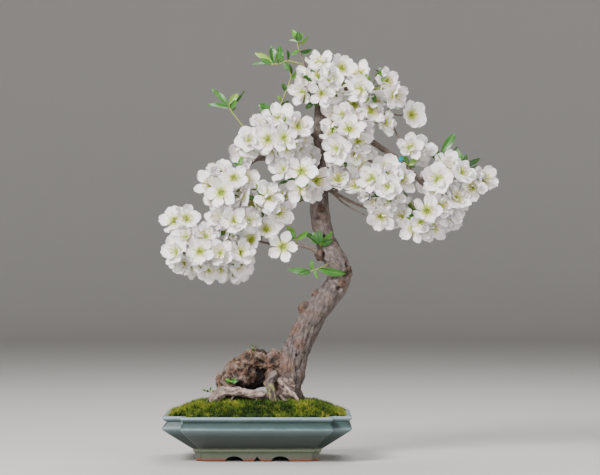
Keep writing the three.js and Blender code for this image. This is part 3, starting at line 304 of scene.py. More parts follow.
# Leafy shoots: the stem's points and its radius. Where single leaves can be told apart, blades: how far
# along the stem each grows, x and z of its tip, how far its tip stands back, and its turn from facing the
# front in degrees. Elsewhere how many leaves, the longest one and the lean in degrees.
SHOOTS = {
    "top": {
        "stem": [(60, 7, 590), (58, 7, 598), (58, 6, 606)],
        "radius": 1,
        "blades": [
            (1, 51, 621, -4, 10), (1, 66, 615, -6, 20), (0.9, 59, 617, -9, 0), (0.8, 45, 611, 4, 60),
            (0.7, 76, 611, 3, 60), (0.1, 49, 586, -8, 20), (0, 78, 590, -5, 50),
        ],
    },
    "top_left": {
        "stem": [(67, 6, 571), (54, 5, 574), (42, 4, 576), (32, 3, 572), (19, 2, 571)],
        "radius": 1.3,
        "blades": [
            (1, -10, 574, 4, 60), (0.97, 4, 579, -6, 0), (0.92, -3, 592, 5, 35), (0.9, 20, 599, 0, 0),
            (0.8, 28, 586, -8, 50), (0.68, 31, 600, 4, 10), (0.62, 27, 590, -6, 0),
            (0.5, 45, 593, 3, 50), (0.6, 45, 562, -5, 20),
        ],
    },
    "upper_twig": {
        "stem": [(26, -12, 462), (22, -4, 486), (36, 2, 519), (43, 4, 538), (48, 5, 552), (46, 6, 563)],
        "radius": 1.2,
        "blades": [
            (0.88, 62, 560, -6, 30), (0.93, 50, 573, 3, 60), (0.7, 36, 543, -5, 20),
            (0.7, 53, 534, 4, 30), (0.56, 28, 525, -4, 20), (0.5, 45, 516, -5, 40),
            (0.38, 1, 514, -4, 20), (0.4, 25, 516, -8, 30), (0.33, 3, 504, -6, 0),
        ],
    },
    "left_twig": {
        "stem": [(-10, -15, 454), (-18, -6, 476), (-30, -2, 492), (-40, 0, 506), (-42, 0, 514)],
        "radius": 1.2,
        "blades": [
            (1, -29, 528, -5, 0), (0.97, -17, 531, 6, 60), (0.9, -31, 518, -8, 20),
            (0.85, -31, 508, 2, 40), (0.93, -66, 537, 3, 25), (0.88, -73, 516, 5, 55),
        ],
    },
    "crown_leaf": {
        "stem": [(90, 0, 510), (84, -14, 514), (77, -22, 518)],
        "radius": 1.1,
        "blades": [
            (1, 70, 536, -2, 10), (0.95, 61, 529, -6, 0), (0.9, 62, 518, -3, 20), (0.8, 70, 506, -4, 0),
        ],
    },
    "crown_right_leaf": {
        "stem": [(165, -6, 538), (172, -4, 552), (175, -4, 562)],
        "radius": 1, "leaves": 5, "size": 14, "spread": 50,
    },
    "right_twig_leaf": {
        "stem": [(186, -4, 499), (190, -8, 510), (193, -12, 518)],
        "radius": 1, "leaves": 5, "size": 18, "spread": 55,
    },
    "outer_right_leaf": {
        "stem": [(262, -20, 403), (264, -10, 426), (265, -6, 441)],
        "radius": 1.1,
        "blades": [
            (1, 285, 470, -4, 0), (0.9, 244, 458, 6, 60), (0.85, 292, 447, 5, 60), (0.7, 252, 439, -6, 30),
        ],
    },
    "end_leaf": {
        "stem": [(290, -20, 398), (294, -10, 414), (296, -6, 424)],
        "radius": 1.1,
        "blades": [
            (1, 288, 447, -5, 0), (0.95, 303, 438, -8, 25), (1, 324, 432, 4, 30),
            (0.85, 281, 436, 6, 50), (0.8, 318, 420, -3, 60),
        ],
    },
    "middle_leaf": {
        "stem": [(205, -16, 431), (214, -26, 426), (218, -32, 424)], "radius": 1,
        "blades": [(1, 229, 433, -4, 0), (0.9, 212, 438, -6, 30), (0.8, 227, 420, 3, 30)],
    },
    "lower_inner_leaf": {
        "stem": [(98, -3, 391), (99, -14, 392), (102, -20, 392)],
        "radius": 1, "leaves": 3, "size": 15, "spread": 55,
    },
    "trunk_leaf": {
        "stem": [(93, -4, 306), (91, -16, 308), (90, -21, 312)],
        "radius": 1.1,
        "blades": [
            (1, 80, 328, -3, 0), (1, 89, 330, -6, 15), (0.95, 69, 328, 4, 35), (0.95, 109, 327, -4, 40),
            (0.9, 112, 323, 3, 60), (0.85, 109, 314, -3, 30), (0.85, 79, 317, -5, 50),
        ],
    },
    "trunk_side_leaf": {
        "stem": [(57, -16, 309), (56, -20, 314), (55, -22, 319)], "radius": 1,
        "blades": [(1, 38, 321, -4, 0), (1, 45, 332, -6, 20), (0.9, 43, 338, 4, 30), (0.9, 73, 327, -3, 30)],
    },
    "trunk_low_leaf": {
        "stem": [(106, -8, 284), (92, -22, 277), (76, -24, 271)],
        "radius": 1,
        "blades": [
            (1, 43, 274, -2, 10), (0.96, 59, 267, -6, 0), (0.95, 78, 288, -5, 20),
            (0.7, 125, 265, -9, 25), (0.8, 84, 262, -6, 40),
        ],
    },
    "left_leaf": {
        "stem": [(-19, -10, 422), (-26, -24, 424), (-28, -30, 422)], "radius": 1,
        "blades": [(1, -17, 413, -6, 0), (0.95, -22, 436, -4, 10), (0.85, -36, 430, 3, 40)],
    },
    "back_leaf": {
        "stem": [(55, 38, 374), (52, 50, 380), (50, 58, 386)],
        "radius": 1.1, "leaves": 4, "size": 26, "spread": 55,
    },
    "back_right_leaf": {
        "stem": [(116, 36, 450), (112, 46, 460), (110, 54, 468)],
        "radius": 1.1, "leaves": 4, "size": 26, "spread": 55,
    },
    "burl_fern": {
        "stem": [(-40, -8, 112), (-38, -22, 112), (-38, -26, 113)],
        "radius": 1.2, "leaves": 5, "size": 13, "spread": 62,
    },
    "burl_sprig": {
        "stem": [(-8, -4, 146), (-7, -6, 154), (-6, -6, 161)],
        "radius": 0.9, "leaves": 4, "size": 10, "spread": 34,
    },
    "root_sprig": {
        "stem": [(-58, -22, 94), (-67, -14, 97), (-74, -10, 98)],
        "radius": 0.9, "leaves": 5, "size": 9, "spread": 60,
    },
}


# Where the flowers and limbs stand


def draw(seed):
    """A repeatable number from 0 to 1 for each whole seed."""
    h = (seed + 1) * 0x9E3779B1 & 0xFFFFFFFF
    h = (h ^ h >> 15) * 0x85EBCA6B & 0xFFFFFFFF
    h = (h ^ h >> 13) * 0xC2B2AE35 & 0xFFFFFFFF
    return (h ^ h >> 16) / 4294967296


def between(low, high, share):
    """The value at a share of the way from low to high."""
    return low + (high - low) * share


def clamp(value):
    """The value, kept from 0 to 1."""
    return max(0.0, min(1.0, value))


def smooth_path(points, step):
    """Places and radii at even steps along the centripetal curve through the points, as an array of
    (x, y, z, radius)."""
    given = np.array([tuple(p)[:4] if len(p) > 3 else (*p, 1) for p in points], float)
    places = given[:, :3]
    ends = np.vstack([2 * places[0] - places[1], places, 2 * places[-1] - places[-2]])
    dense = []
    for i in range(len(places) - 1):
        p = ends[i : i + 4]
        d = [max(np.sum((p[k + 1] - p[k]) ** 2) ** 0.25, 1e-4) for k in range(3)]
        start = (p[1] - p[0]) / d[0] - (p[2] - p[0]) / (d[0] + d[1]) + (p[2] - p[1]) / d[1]
        end = (p[2] - p[1]) / d[1] - (p[3] - p[1]) / (d[1] + d[2]) + (p[3] - p[2]) / d[2]
        start, end = start * d[1], end * d[1]
        for t in np.linspace(0, 1, 24, endpoint=i == len(places) - 2):
            cubic = 2 * p[1] - 2 * p[2] + start + end
            square = -3 * p[1] + 3 * p[2] - 2 * start - end
            place = p[1] + start * t + square * t**2 + cubic * t**3
            dense.append((*place, between(given[i, 3], given[i + 1, 3], t)))
    dense = np.array(dense)
    along = np.concatenate([[0], np.cumsum(np.linalg.norm(np.diff(dense[:, :3], axis=0), axis=1))])
    stops = np.linspace(0, along[-1], max(3, round(along[-1] / step) + 1))
    return np.stack([np.interp(stops, along, dense[:, k]) for k in range(4)], 1)


def blooms_of(name):
    """Where each flower of a spray stands and looks before the flowers are moved apart in depth."""
    spray = SPRAYS[name]
    seed = list(SPRAYS).index(name) * 40
    limb, number = spray["hub"]
    root = Vector(LIMBS[limb][number][:3])
    reach = spray["reach"]
    made = []
    for i, (x, z) in enumerate(spray.get("front", [])):
        aside = math.hypot(x - root.x, z - root.z)
        least = reach * (0.5 + 0.3 * draw(seed + i))
        middle = Vector((x, root.y - max(math.sqrt(max(0, reach * reach - aside * aside)), least), z))
        made.append((middle, ((middle - root).normalized() + Vector((0, -0.7, 0.1))).normalized()))
    rear = spray.get("rear", 0)
    for i in range(rear):
        turn = (i + draw(seed + 30 + i) * 0.5) * (2 * math.pi / rear) + seed
        facing = Vector((0.75 * math.cos(turn), 0.75, 0.75 * math.sin(turn) + 0.1)).normalized()
        made.append((root + facing * reach, facing))
    return [
        {
            "spray": name,
            "root": root,
            "middle": middle,
            "facing": facing,
            "nearest": abs(middle.y - root.y) * 0.6,
            "radius": between(BLOOM["smallest"], BLOOM["largest"], draw(seed + 10 + i)),
            "turn": draw(seed + 20 + i) * 2 * math.pi,
            "cup": BLOOM["cup"] * (0.7 + 0.8 * draw(seed + 25 + i)),
            "seed": seed + i,
        }
        for i, (middle, facing) in enumerate(made)
    ]


def shift_in_depth(bloom, move):
    """Moves a flower in depth, but no nearer to its branch than it may stand."""
    root = bloom["root"].y
    off = bloom["middle"].y - root
    side = math.copysign(1, off)
    bloom["middle"].y = root + side * max(side * (off + move), bloom["nearest"])


def spread_blooms():
    """All the flowers, those that overlap as seen from the front moved apart in depth."""
    blooms = [bloom for name in SPRAYS for bloom in blooms_of(name)]
    for _ in range(SPREAD["rounds"]):
        for i, a in enumerate(blooms):
            for b in blooms[i + 1 :]:
                apart = math.hypot(a["middle"].x - b["middle"].x, a["middle"].z - b["middle"].z)
                close = 1 - apart / (a["radius"] + b["radius"])
                if close <= 0:
                    continue
                depth = a["middle"].y - b["middle"].y
                lack = SPREAD["depth"] * min(1, 2 * close) - abs(depth)
                if lack > 0:
                    move = math.copysign(lack * SPREAD["share"], depth if depth else 1)
                    shift_in_depth(a, move)
                    shift_in_depth(b, -move)
    return blooms


BLOOMS = spread_blooms()


def spur_of(name):
    """The middle of a spray's spur and the point of the branch that it grows from."""
    limb, number = SPRAYS[name]["hub"]
    points = LIMBS[limb]
    root = Vector(points[number][:3])
    away = sum((b["middle"] - root for b in BLOOMS if b["spray"] == name), Vector())
    if number + 1 < len(points):
        along = (Vector(points[number + 1][:3]) - Vector(points[number - 1][:3])).normalized()
        away -= along * away.dot(along)
    return root + away.normalized() * (points[number][3] + SPUR * 0.9 + 0.3), root


# Tools shared by the pieces


def linear(colour):
    """An sRGB hex colour as linear RGBA."""
    channels = [int(colour[i : i + 2], 16) / 255 for i in (1, 3, 5)]
    return tuple(c / 12.92 if c <= 0.04045 else ((c + 0.055) / 1.055) ** 2.4 for c in channels) + (1,)


def feed(tree, node, inputs):
    """Links or sets a node's inputs."""
    for key, value in inputs.items():
        if isinstance(value, bpy.types.NodeSocket):
            tree.links.new(value, node.inputs[key])
        else:
            node.inputs[key].default_value = value


def add_node(tree, kind, inputs=None, stops=None, **settings):
    """Adds a node with its settings, links and values. stops are a colour ramp's places and hex colours."""
    node = tree.nodes.new(kind)
    for key, value in settings.items():
        setattr(node, key, value)
    feed(tree, node, inputs or {})
    if stops:
        ramp = node.color_ramp
        ramp.elements.remove(ramp.elements[1])
        ramp.elements[0].position, ramp.elements[0].color = stops[0][0], linear(stops[0][1])
        for place, colour in stops[1:]:
            ramp.elements.new(place).color = linear(colour)
    return node


def start_material(name):
    """A new material, its node tree and its shader."""
    material = bpy.data.materials.new(name)
    material.use_nodes = True
    return material, material.node_tree, material.node_tree.nodes["Principled BSDF"]


def start_tree(name, sockets):
    """A new geometry node tree with named inputs, given as (name, kind, default), and their sockets in it."""
    tree = bpy.data.node_groups.new(name, "GeometryNodeTree")
    for label, kind, default in sockets:
        socket = tree.interface.new_socket(label, in_out="INPUT", socket_type="NodeSocket" + kind)
        if default is not None:
            socket.default_value = default
    tree.interface.new_socket("Geometry", in_out="OUTPUT", socket_type="NodeSocketGeometry")
    return tree, tree.nodes.new("NodeGroupInput").outputs


def end_tree(tree, geometry, finish):
    """Ends a tree in Realize Instances and Set Material."""
    real = add_node(tree, "GeometryNodeRealizeInstances", {"Geometry": geometry})
    painted = add_node(tree, "GeometryNodeSetMaterial", {"Geometry": real.outputs[0], "Material": finish})
    add_node(tree, "NodeGroupOutput", {"Geometry": painted.outputs[0]})


def add_object(name, data):
    """A new object in the scene."""
    made = bpy.data.objects.new(name, data)
    bpy.context.scene.collection.objects.link(made)
    return made


def settled(holder):
    """The plain mesh that a helper object's modifiers make. The object is removed."""
    shown = bpy.context.evaluated_depsgraph_get()
    mesh = bpy.data.meshes.new_from_object(holder.evaluated_get(shown), depsgraph=shown)
    bpy.data.objects.remove(holder)
    return mesh


def grow_mesh(name, base, tree, **values):
    """The plain mesh that a geometry node tree makes from a base mesh. values are its inputs by name."""
    holder = add_object(name, base)
    modifier = holder.modifiers.new("grow", "NODES")
    modifier.node_group = tree
    for item in tree.interface.items_tree:
        if item.in_out == "INPUT" and item.name in values:
            modifier[item.identifier] = values[item.name]
    return settled(holder)


def point_mesh(name, places, **attributes):
    """A mesh of single points with the given attributes, from lists. Rotations are quaternions."""
    mesh = bpy.data.meshes.new(name)
    mesh.from_pydata([tuple(p) for p in places], [], [])
    for label, values in attributes.items():
        first = values[0]
        kind, field = "FLOAT", "value"
        if isinstance(first, int):
            kind = "INT"
        elif isinstance(first, Quaternion):
            kind = "QUATERNION"
        elif isinstance(first, (Vector, tuple)):
            kind, field = "FLOAT_VECTOR", "vector"
        flat = values if kind in ("FLOAT", "INT") else [c for value in values for c in value]
        mesh.attributes.new(label, kind, "POINT").data.foreach_set(field, flat)
    return mesh


def mesh_of(bm, name, *finishes):
    """The smooth mesh of a bmesh, with its finishes."""
    mesh = bpy.data.meshes.new(name)
    bm.to_mesh(mesh)
    bm.free()
    for finish in finishes:
        mesh.materials.append(finish)
    mesh.shade_smooth()
    return mesh


def wrap_rings(bm, rings, capped=True):
    """Faces between each ring of points and the next, and caps over the first and the last."""
    for low, high in zip(rings, rings[1:]):
        for i in range(len(low)):
            j = (i + 1) % len(low)
            bm.faces.new([low[i], low[j], high[j], high[i]])
    if capped:
        bm.faces.new(rings[0][::-1])
        bm.faces.new(rings[-1])


def joined_mesh(name, meshes):
    """One mesh from several, each keeping its materials."""
    bm = bmesh.new()
    materials = []
    for mesh in meshes:
        start = len(bm.faces)
        bm.from_mesh(mesh)
        bm.faces.ensure_lookup_table()
        for face in bm.faces[start:]:
            material = mesh.materials[face.material_index]
            if material not in materials:
                materials.append(material)
            face.material_index = materials.index(material)
    return mesh_of(bm, name, *materials)


def add_piece(name, mesh, node):
    """Adds a finished piece of the object, which rides on the one body and stands for the CAD node named."""
    piece = add_object(name, mesh)
    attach(piece, "root")
    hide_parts(node)


def paint_node(name, finish):
    """Gives a CAD node that shows as it is its finish."""
    node = frame["nodes"][name]
    if node.material_slots:
        node.material_slots[0].material = finish
    else:
        node.data.materials.append(finish)


def collect(name, meshes):
    """A collection of helper shapes for the geometry nodes, in the order given."""
    group = bpy.data.collections.new(name)
    for i, mesh in enumerate(meshes):
        group.objects.link(bpy.data.objects.new(f"{name}_{i:02d}", mesh))
    return group


def drop(group):
    """Removes a collection of helper shapes and what is in it."""
    for thing in list(group.objects):
        bpy.data.objects.remove(thing)
    bpy.data.collections.remove(group)


# Geometry node trees


def scatter_tree():
    """Puts a shape of the collection on each point, as its attributes kind, turn and size say."""
    tree, given = start_tree("Shapes on points", [
        ("Points", "Geometry", None),
        ("Shapes", "Collection", None),
        ("Finish", "Material", None),
        ("Size", "Float", 1.0),
    ])
    shapes = add_node(
        tree, "GeometryNodeCollectionInfo",
        {"Collection": given["Shapes"], "Separate Children": True, "Reset Children": True},
    )
    kind = add_node(tree, "GeometryNodeInputNamedAttribute", {"Name": "kind"}, data_type="INT")
    turn = add_node(tree, "GeometryNodeInputNamedAttribute", {"Name": "turn"}, data_type="QUATERNION")
    size = add_node(tree, "GeometryNodeInputNamedAttribute", {"Name": "size"}, data_type="FLOAT_VECTOR")
    scaled = add_node(
        tree, "ShaderNodeVectorMath", {0: size.outputs["Attribute"], "Scale": given["Size"]},
        operation="SCALE",
    )
    placed = add_node(tree, "GeometryNodeInstanceOnPoints", {
        "Points": given["Points"], "Instance": shapes.outputs["Instances"], "Pick Instance": True,
        "Instance Index": kind.outputs["Attribute"], "Rotation": turn.outputs["Attribute"],
        "Scale": scaled.outputs["Vector"],
    })
    end_tree(tree, placed.outputs["Instances"], given["Finish"])
    return tree


def limb_tree():
    """Runs a round limb along each path, as thick as its points say, with soft swellings in its bark."""
    tree, given = start_tree("Limbs along paths", [
        ("Paths", "Geometry", None),
        ("Sides", "Int", 12),
        ("Swelling", "Float", 0.08),
        ("Swelling size", "Float", 0.006),
        ("Finish", "Material", None),
    ])
    curve = add_node(tree, "GeometryNodeMeshToCurve", {"Mesh": given["Paths"]})
    length = add_node(tree, "GeometryNodeSplineParameter")
    marked = add_node(
        tree, "GeometryNodeStoreNamedAttribute",
        {"Geometry": curve.outputs[0], "Name": "along", "Value": length.outputs["Length"]}, domain="POINT",
    )
    circle = add_node(tree, "GeometryNodeCurvePrimitiveCircle", {"Resolution": given["Sides"], "Radius": 1.0})
    place = add_node(tree, "GeometryNodeInputPosition")
    ring = add_node(
        tree, "GeometryNodeStoreNamedAttribute",
        {"Geometry": circle.outputs["Curve"], "Name": "around", "Value": place.outputs[0]},
        data_type="FLOAT_VECTOR", domain="POINT",
    )
    thick = add_node(tree, "GeometryNodeInputNamedAttribute", {"Name": "thick"}, data_type="FLOAT")
    tube = add_node(tree, "GeometryNodeCurveToMesh", {
        "Curve": marked.outputs[0], "Profile Curve": ring.outputs[0], "Scale": thick.outputs["Attribute"],
        "Fill Caps": True,
    })
    around = add_node(tree, "GeometryNodeInputNamedAttribute", {"Name": "around"}, data_type="FLOAT_VECTOR")
    along = add_node(tree, "GeometryNodeInputNamedAttribute", {"Name": "along"}, data_type="FLOAT")
    side = add_node(
        tree, "ShaderNodeVectorMath", {0: around.outputs["Attribute"], "Scale": thick.outputs["Attribute"]},
        operation="SCALE",
    )
    lengthwise = add_node(tree, "ShaderNodeCombineXYZ", {"Z": along.outputs["Attribute"]})
    grain = add_node(tree, "ShaderNodeVectorMath", {0: side.outputs[0], 1: lengthwise.outputs[0]})
    kept = add_node(
        tree, "GeometryNodeStoreNamedAttribute",
        {"Geometry": tube.outputs[0], "Name": "grain", "Value": grain.outputs[0]},
        data_type="FLOAT_VECTOR", domain="POINT",
    )
    here = add_node(tree, "GeometryNodeInputPosition")
    finer = add_node(tree, "ShaderNodeMath", {0: 1.0, 1: given["Swelling size"]}, operation="DIVIDE")
    bumps = add_node(
        tree, "ShaderNodeTexNoise", {"Vector": here.outputs[0], "Scale": finer.outputs[0], "Detail": 2.0},
    )
    high = add_node(tree, "ShaderNodeMath", {0: bumps.outputs["Fac"], 1: -0.5}, operation="ADD")
    share = add_node(tree, "ShaderNodeMath", {0: high.outputs[0], 1: given["Swelling"]}, operation="MULTIPLY")
    amount = add_node(
        tree, "ShaderNodeMath", {0: share.outputs[0], 1: thick.outputs["Attribute"]}, operation="MULTIPLY",
    )
    outward = add_node(tree, "GeometryNodeInputNormal")
    offset = add_node(
        tree, "ShaderNodeVectorMath", {0: outward.outputs[0], "Scale": amount.outputs[0]}, operation="SCALE",
    )
    moved = add_node(
        tree, "GeometryNodeSetPosition", {"Geometry": kept.outputs[0], "Offset": offset.outputs[0]},
    )
    end_tree(tree, moved.outputs[0], given["Finish"])
    return tree


def tuft_tree():
    """Scatters sprigs over a surface, each upright on it, turned and sized at random."""
    tree, given = start_tree("Sprigs on a surface", [
        ("Surface", "Geometry", None),
        ("Shapes", "Collection", None),
        ("Density", "Float", 150000.0),
        ("Smallest", "Float", 0.7),
        ("Largest", "Float", 1.2),
        ("Seed", "Int", 5),
        ("Finish", "Material", None),
    ])
    wanted = add_node(tree, "GeometryNodeInputNamedAttribute", {"Name": "open"}, data_type="FLOAT")
    dense = add_node(
        tree, "ShaderNodeMath", {0: wanted.outputs["Attribute"], 1: given["Density"]}, operation="MULTIPLY",
    )
    points = add_node(
        tree, "GeometryNodeDistributePointsOnFaces",
        {"Mesh": given["Surface"], "Density": dense.outputs[0], "Seed": given["Seed"]},
    )
    shapes = add_node(
        tree, "GeometryNodeCollectionInfo",
        {"Collection": given["Shapes"], "Separate Children": True, "Reset Children": True},
    )
    spin = add_node(tree, "FunctionNodeRandomValue", {3: 2 * math.pi, "Seed": 1}, data_type="FLOAT")
    lean = add_node(tree, "FunctionNodeAxisAngleToRotation", {"Axis": (0, 0, 1), "Angle": spin.outputs[1]})
    turned = add_node(
        tree, "FunctionNodeRotateRotation",
        {"Rotation": points.outputs["Rotation"], "Rotate By": lean.outputs[0]}, rotation_space="LOCAL",
    )
    size = add_node(
        tree, "FunctionNodeRandomValue", {2: given["Smallest"], 3: given["Largest"], "Seed": 2},
        data_type="FLOAT",
    )
    pick = add_node(tree, "FunctionNodeRandomValue", {4: 0, 5: SPRIGS - 1, "Seed": 3}, data_type="INT")
    placed = add_node(tree, "GeometryNodeInstanceOnPoints", {
        "Points": points.outputs["Points"], "Instance": shapes.outputs["Instances"], "Pick Instance": True,
        "Instance Index": pick.outputs[2], "Rotation": turned.outputs[0], "Scale": size.outputs[1],
    })
    tint = add_node(tree, "FunctionNodeRandomValue", {"Seed": 4}, data_type="FLOAT")
    marked = add_node(
        tree, "GeometryNodeStoreNamedAttribute",
        {"Geometry": placed.outputs["Instances"], "Name": "tint", "Value": tint.outputs[1]},
        domain="INSTANCE",
    )
    end_tree(tree, marked.outputs[0], given["Finish"])
    return tree


def path_mesh(name, paths, step):
    """A mesh of edge chains in metres from lists of points (x, y, z, radius) in the tables' millimetres."""
    places, edges, thick = [], [], []
    for points in paths:
        start = len(places)
        for x, y, z, radius in smooth_path(points, step):
            places.append(to_scene((x, y, z)))
            thick.append(float(radius * MM))
        edges += [(i, i + 1) for i in range(start, len(places) - 1)]
    mesh = bpy.data.meshes.new(name)
    mesh.from_pydata(places, edges, [])
    mesh.attributes.new("thick", "FLOAT", "POINT").data.foreach_set("value", thick)
    return mesh


# Materials


def petal_tissue(settings):
    """Quince petal, grown: soft, thin and almost matt white, yellow-green at the claw, with fine veins, and a
    pinkish-grey painted shade laid at random over whole flowers.
    """
    material, tree, shader = start_material("quince petal")
    lie = add_node(tree, "ShaderNodeAttribute", attribute_name="lie")
    parts = add_node(tree, "ShaderNodeSeparateXYZ", {0: lie.outputs["Vector"]})
    tint = add_node(tree, "ShaderNodeAttribute", attribute_name="tint")
    base = add_node(
        tree, "ShaderNodeValToRGB", {"Fac": parts.outputs["X"]},
        stops=[(0.0, "#86a92f"), (0.13, "#b3cb57"), (0.25, "#e2eab8"), (0.38, "#faf9f4"), (1.0, "#fdfcfb")],
    )
    # painted shade: a pinkish grey multiplied in over whole flowers, as much as their random tint says
    painted_shade_tint = add_node(
        tree, "ShaderNodeMix", {0: tint.outputs["Fac"], 6: base.outputs["Color"], 7: (*settings.painted_shade_tint, 1)},
        data_type="RGBA", blend_type="MULTIPLY",
    )
    # seven veins on each half, drawn wider than real ones so that they show
    fan = add_node(tree, "ShaderNodeMath", {0: parts.outputs["Y"], 1: 7 * math.pi}, operation="MULTIPLY")
    wave = add_node(tree, "ShaderNodeMath", {0: fan.outputs[0]}, operation="COSINE")
    vein = add_node(
        tree, "ShaderNodeMath", {0: wave.outputs[0], 1: 0.035, 2: 0.965}, operation="MULTIPLY_ADD",
    )
    coloured = add_node(
        tree, "ShaderNodeMix", {0: 1.0, 6: painted_shade_tint.outputs[2], 7: vein.outputs[0]}, data_type="RGBA",
        blend_type="MULTIPLY",
    )
    bump = add_node(tree, "ShaderNodeBump", {"Height": wave.outputs[0], "Distance": 0.0003, "Strength": 0.35})
    feed(tree, shader, {
        "Base Color": coloured.outputs[2], "Normal": bump.outputs[0], "Roughness": 0.55,
        "Specular IOR Level": 0.35, "Subsurface Weight": 0.25, "Subsurface Radius": (1.0, 0.95, 0.8),
        "Subsurface Scale": 0.002,
    })
    return material


def stamen_tissue():
    """Stamen, grown: pale green filament that ends in a powdery yellow anther."""
    material, tree, shader = start_material("quince stamen")
    lie = add_node(tree, "ShaderNodeAttribute", attribute_name="lie")
    parts = add_node(tree, "ShaderNodeSeparateXYZ", {0: lie.outputs["Vector"]})
    base = add_node(
        tree, "ShaderNodeValToRGB", {"Fac": parts.outputs["X"]},
        stops=[(0.0, "#87a825"), (0.55, "#b9cc48"), (0.8, "#d2d23a"), (1.0, "#cfc42a")],
    )
    feed(tree, shader, {"Base Color": base.outputs["Color"], "Roughness": 0.7})
    return material


def calyx_tissue():
    """Calyx and stalk, grown: waxy green, mottled with brown."""
    material, tree, shader = start_material("quince calyx")
    place = add_node(tree, "ShaderNodeTexCoord").outputs["Object"]
    mottle = add_node(tree, "ShaderNodeTexNoise", {"Vector": place, "Scale": 1 / (4 * MM)})
    base = add_node(
        tree, "ShaderNodeValToRGB", {"Fac": mottle.outputs["Fac"]},
        stops=[(0.3, "#5d6a2c"), (0.5, "#7f8d3f"), (0.72, "#8a6a45")],
    )
    feed(tree, shader, {"Base Color": base.outputs["Color"], "Roughness": 0.5})
    return material


def leaf_tissue(settings):
    """Quince leaf, grown: glossy mid green with a paler rib and side veins."""
    material, tree, shader = start_material("quince leaf")
    lie = add_node(tree, "ShaderNodeAttribute", attribute_name="lie")
    parts = add_node(tree, "ShaderNodeSeparateXYZ", {0: lie.outputs["Vector"]})
    tint = add_node(tree, "ShaderNodeAttribute", attribute_name="tint")
    # seven side veins on each half, which slant towards the tip
    aside = add_node(tree, "ShaderNodeMath", {0: parts.outputs["Y"]}, operation="ABSOLUTE")
    slant = add_node(tree, "ShaderNodeMath", {0: aside.outputs[0], 1: -0.16}, operation="MULTIPLY")
    row = add_node(tree, "ShaderNodeMath", {0: parts.outputs["X"], 1: slant.outputs[0]}, operation="ADD")
    turns = add_node(tree, "ShaderNodeMath", {0: row.outputs[0], 1: 14 * math.pi}, operation="MULTIPLY")
    wave = add_node(tree, "ShaderNodeMath", {0: turns.outputs[0]}, operation="COSINE")
    veins = add_node(tree, "ShaderNodeMapRange", {0: wave.outputs[0], 1: 0.75, 2: 1.0, 3: 0.0, 4: 0.2})
    rib = add_node(tree, "ShaderNodeMapRange", {0: aside.outputs[0], 1: 0.03, 2: 0.09, 3: 0.6, 4: 0.0})
    pale = add_node(tree, "ShaderNodeMath", {0: veins.outputs[0], 1: rib.outputs[0]}, operation="MAXIMUM")
    green = add_node(
        tree, "ShaderNodeValToRGB", {"Fac": tint.outputs["Fac"]},
        stops=[(0.0, "#194711"), (0.5, "#2c691a"), (0.8, "#468423"), (1.0, "#7d9c34")],
    )
    base = add_node(
        tree, "ShaderNodeMix", {0: pale.outputs[0], 6: green.outputs["Color"], 7: (*settings.vein, 1)},
        data_type="RGBA",
    )
    bump = add_node(
        tree, "ShaderNodeBump", {"Height": pale.outputs[0], "Distance": 0.0004, "Strength": 0.6}, invert=True,
    )
    feed(tree, shader, {
        "Base Color": base.outputs[2], "Normal": bump.outputs[0], "Roughness": 0.34, "Subsurface Weight": 0.1,
        "Subsurface Scale": 0.001,
    })
    return material


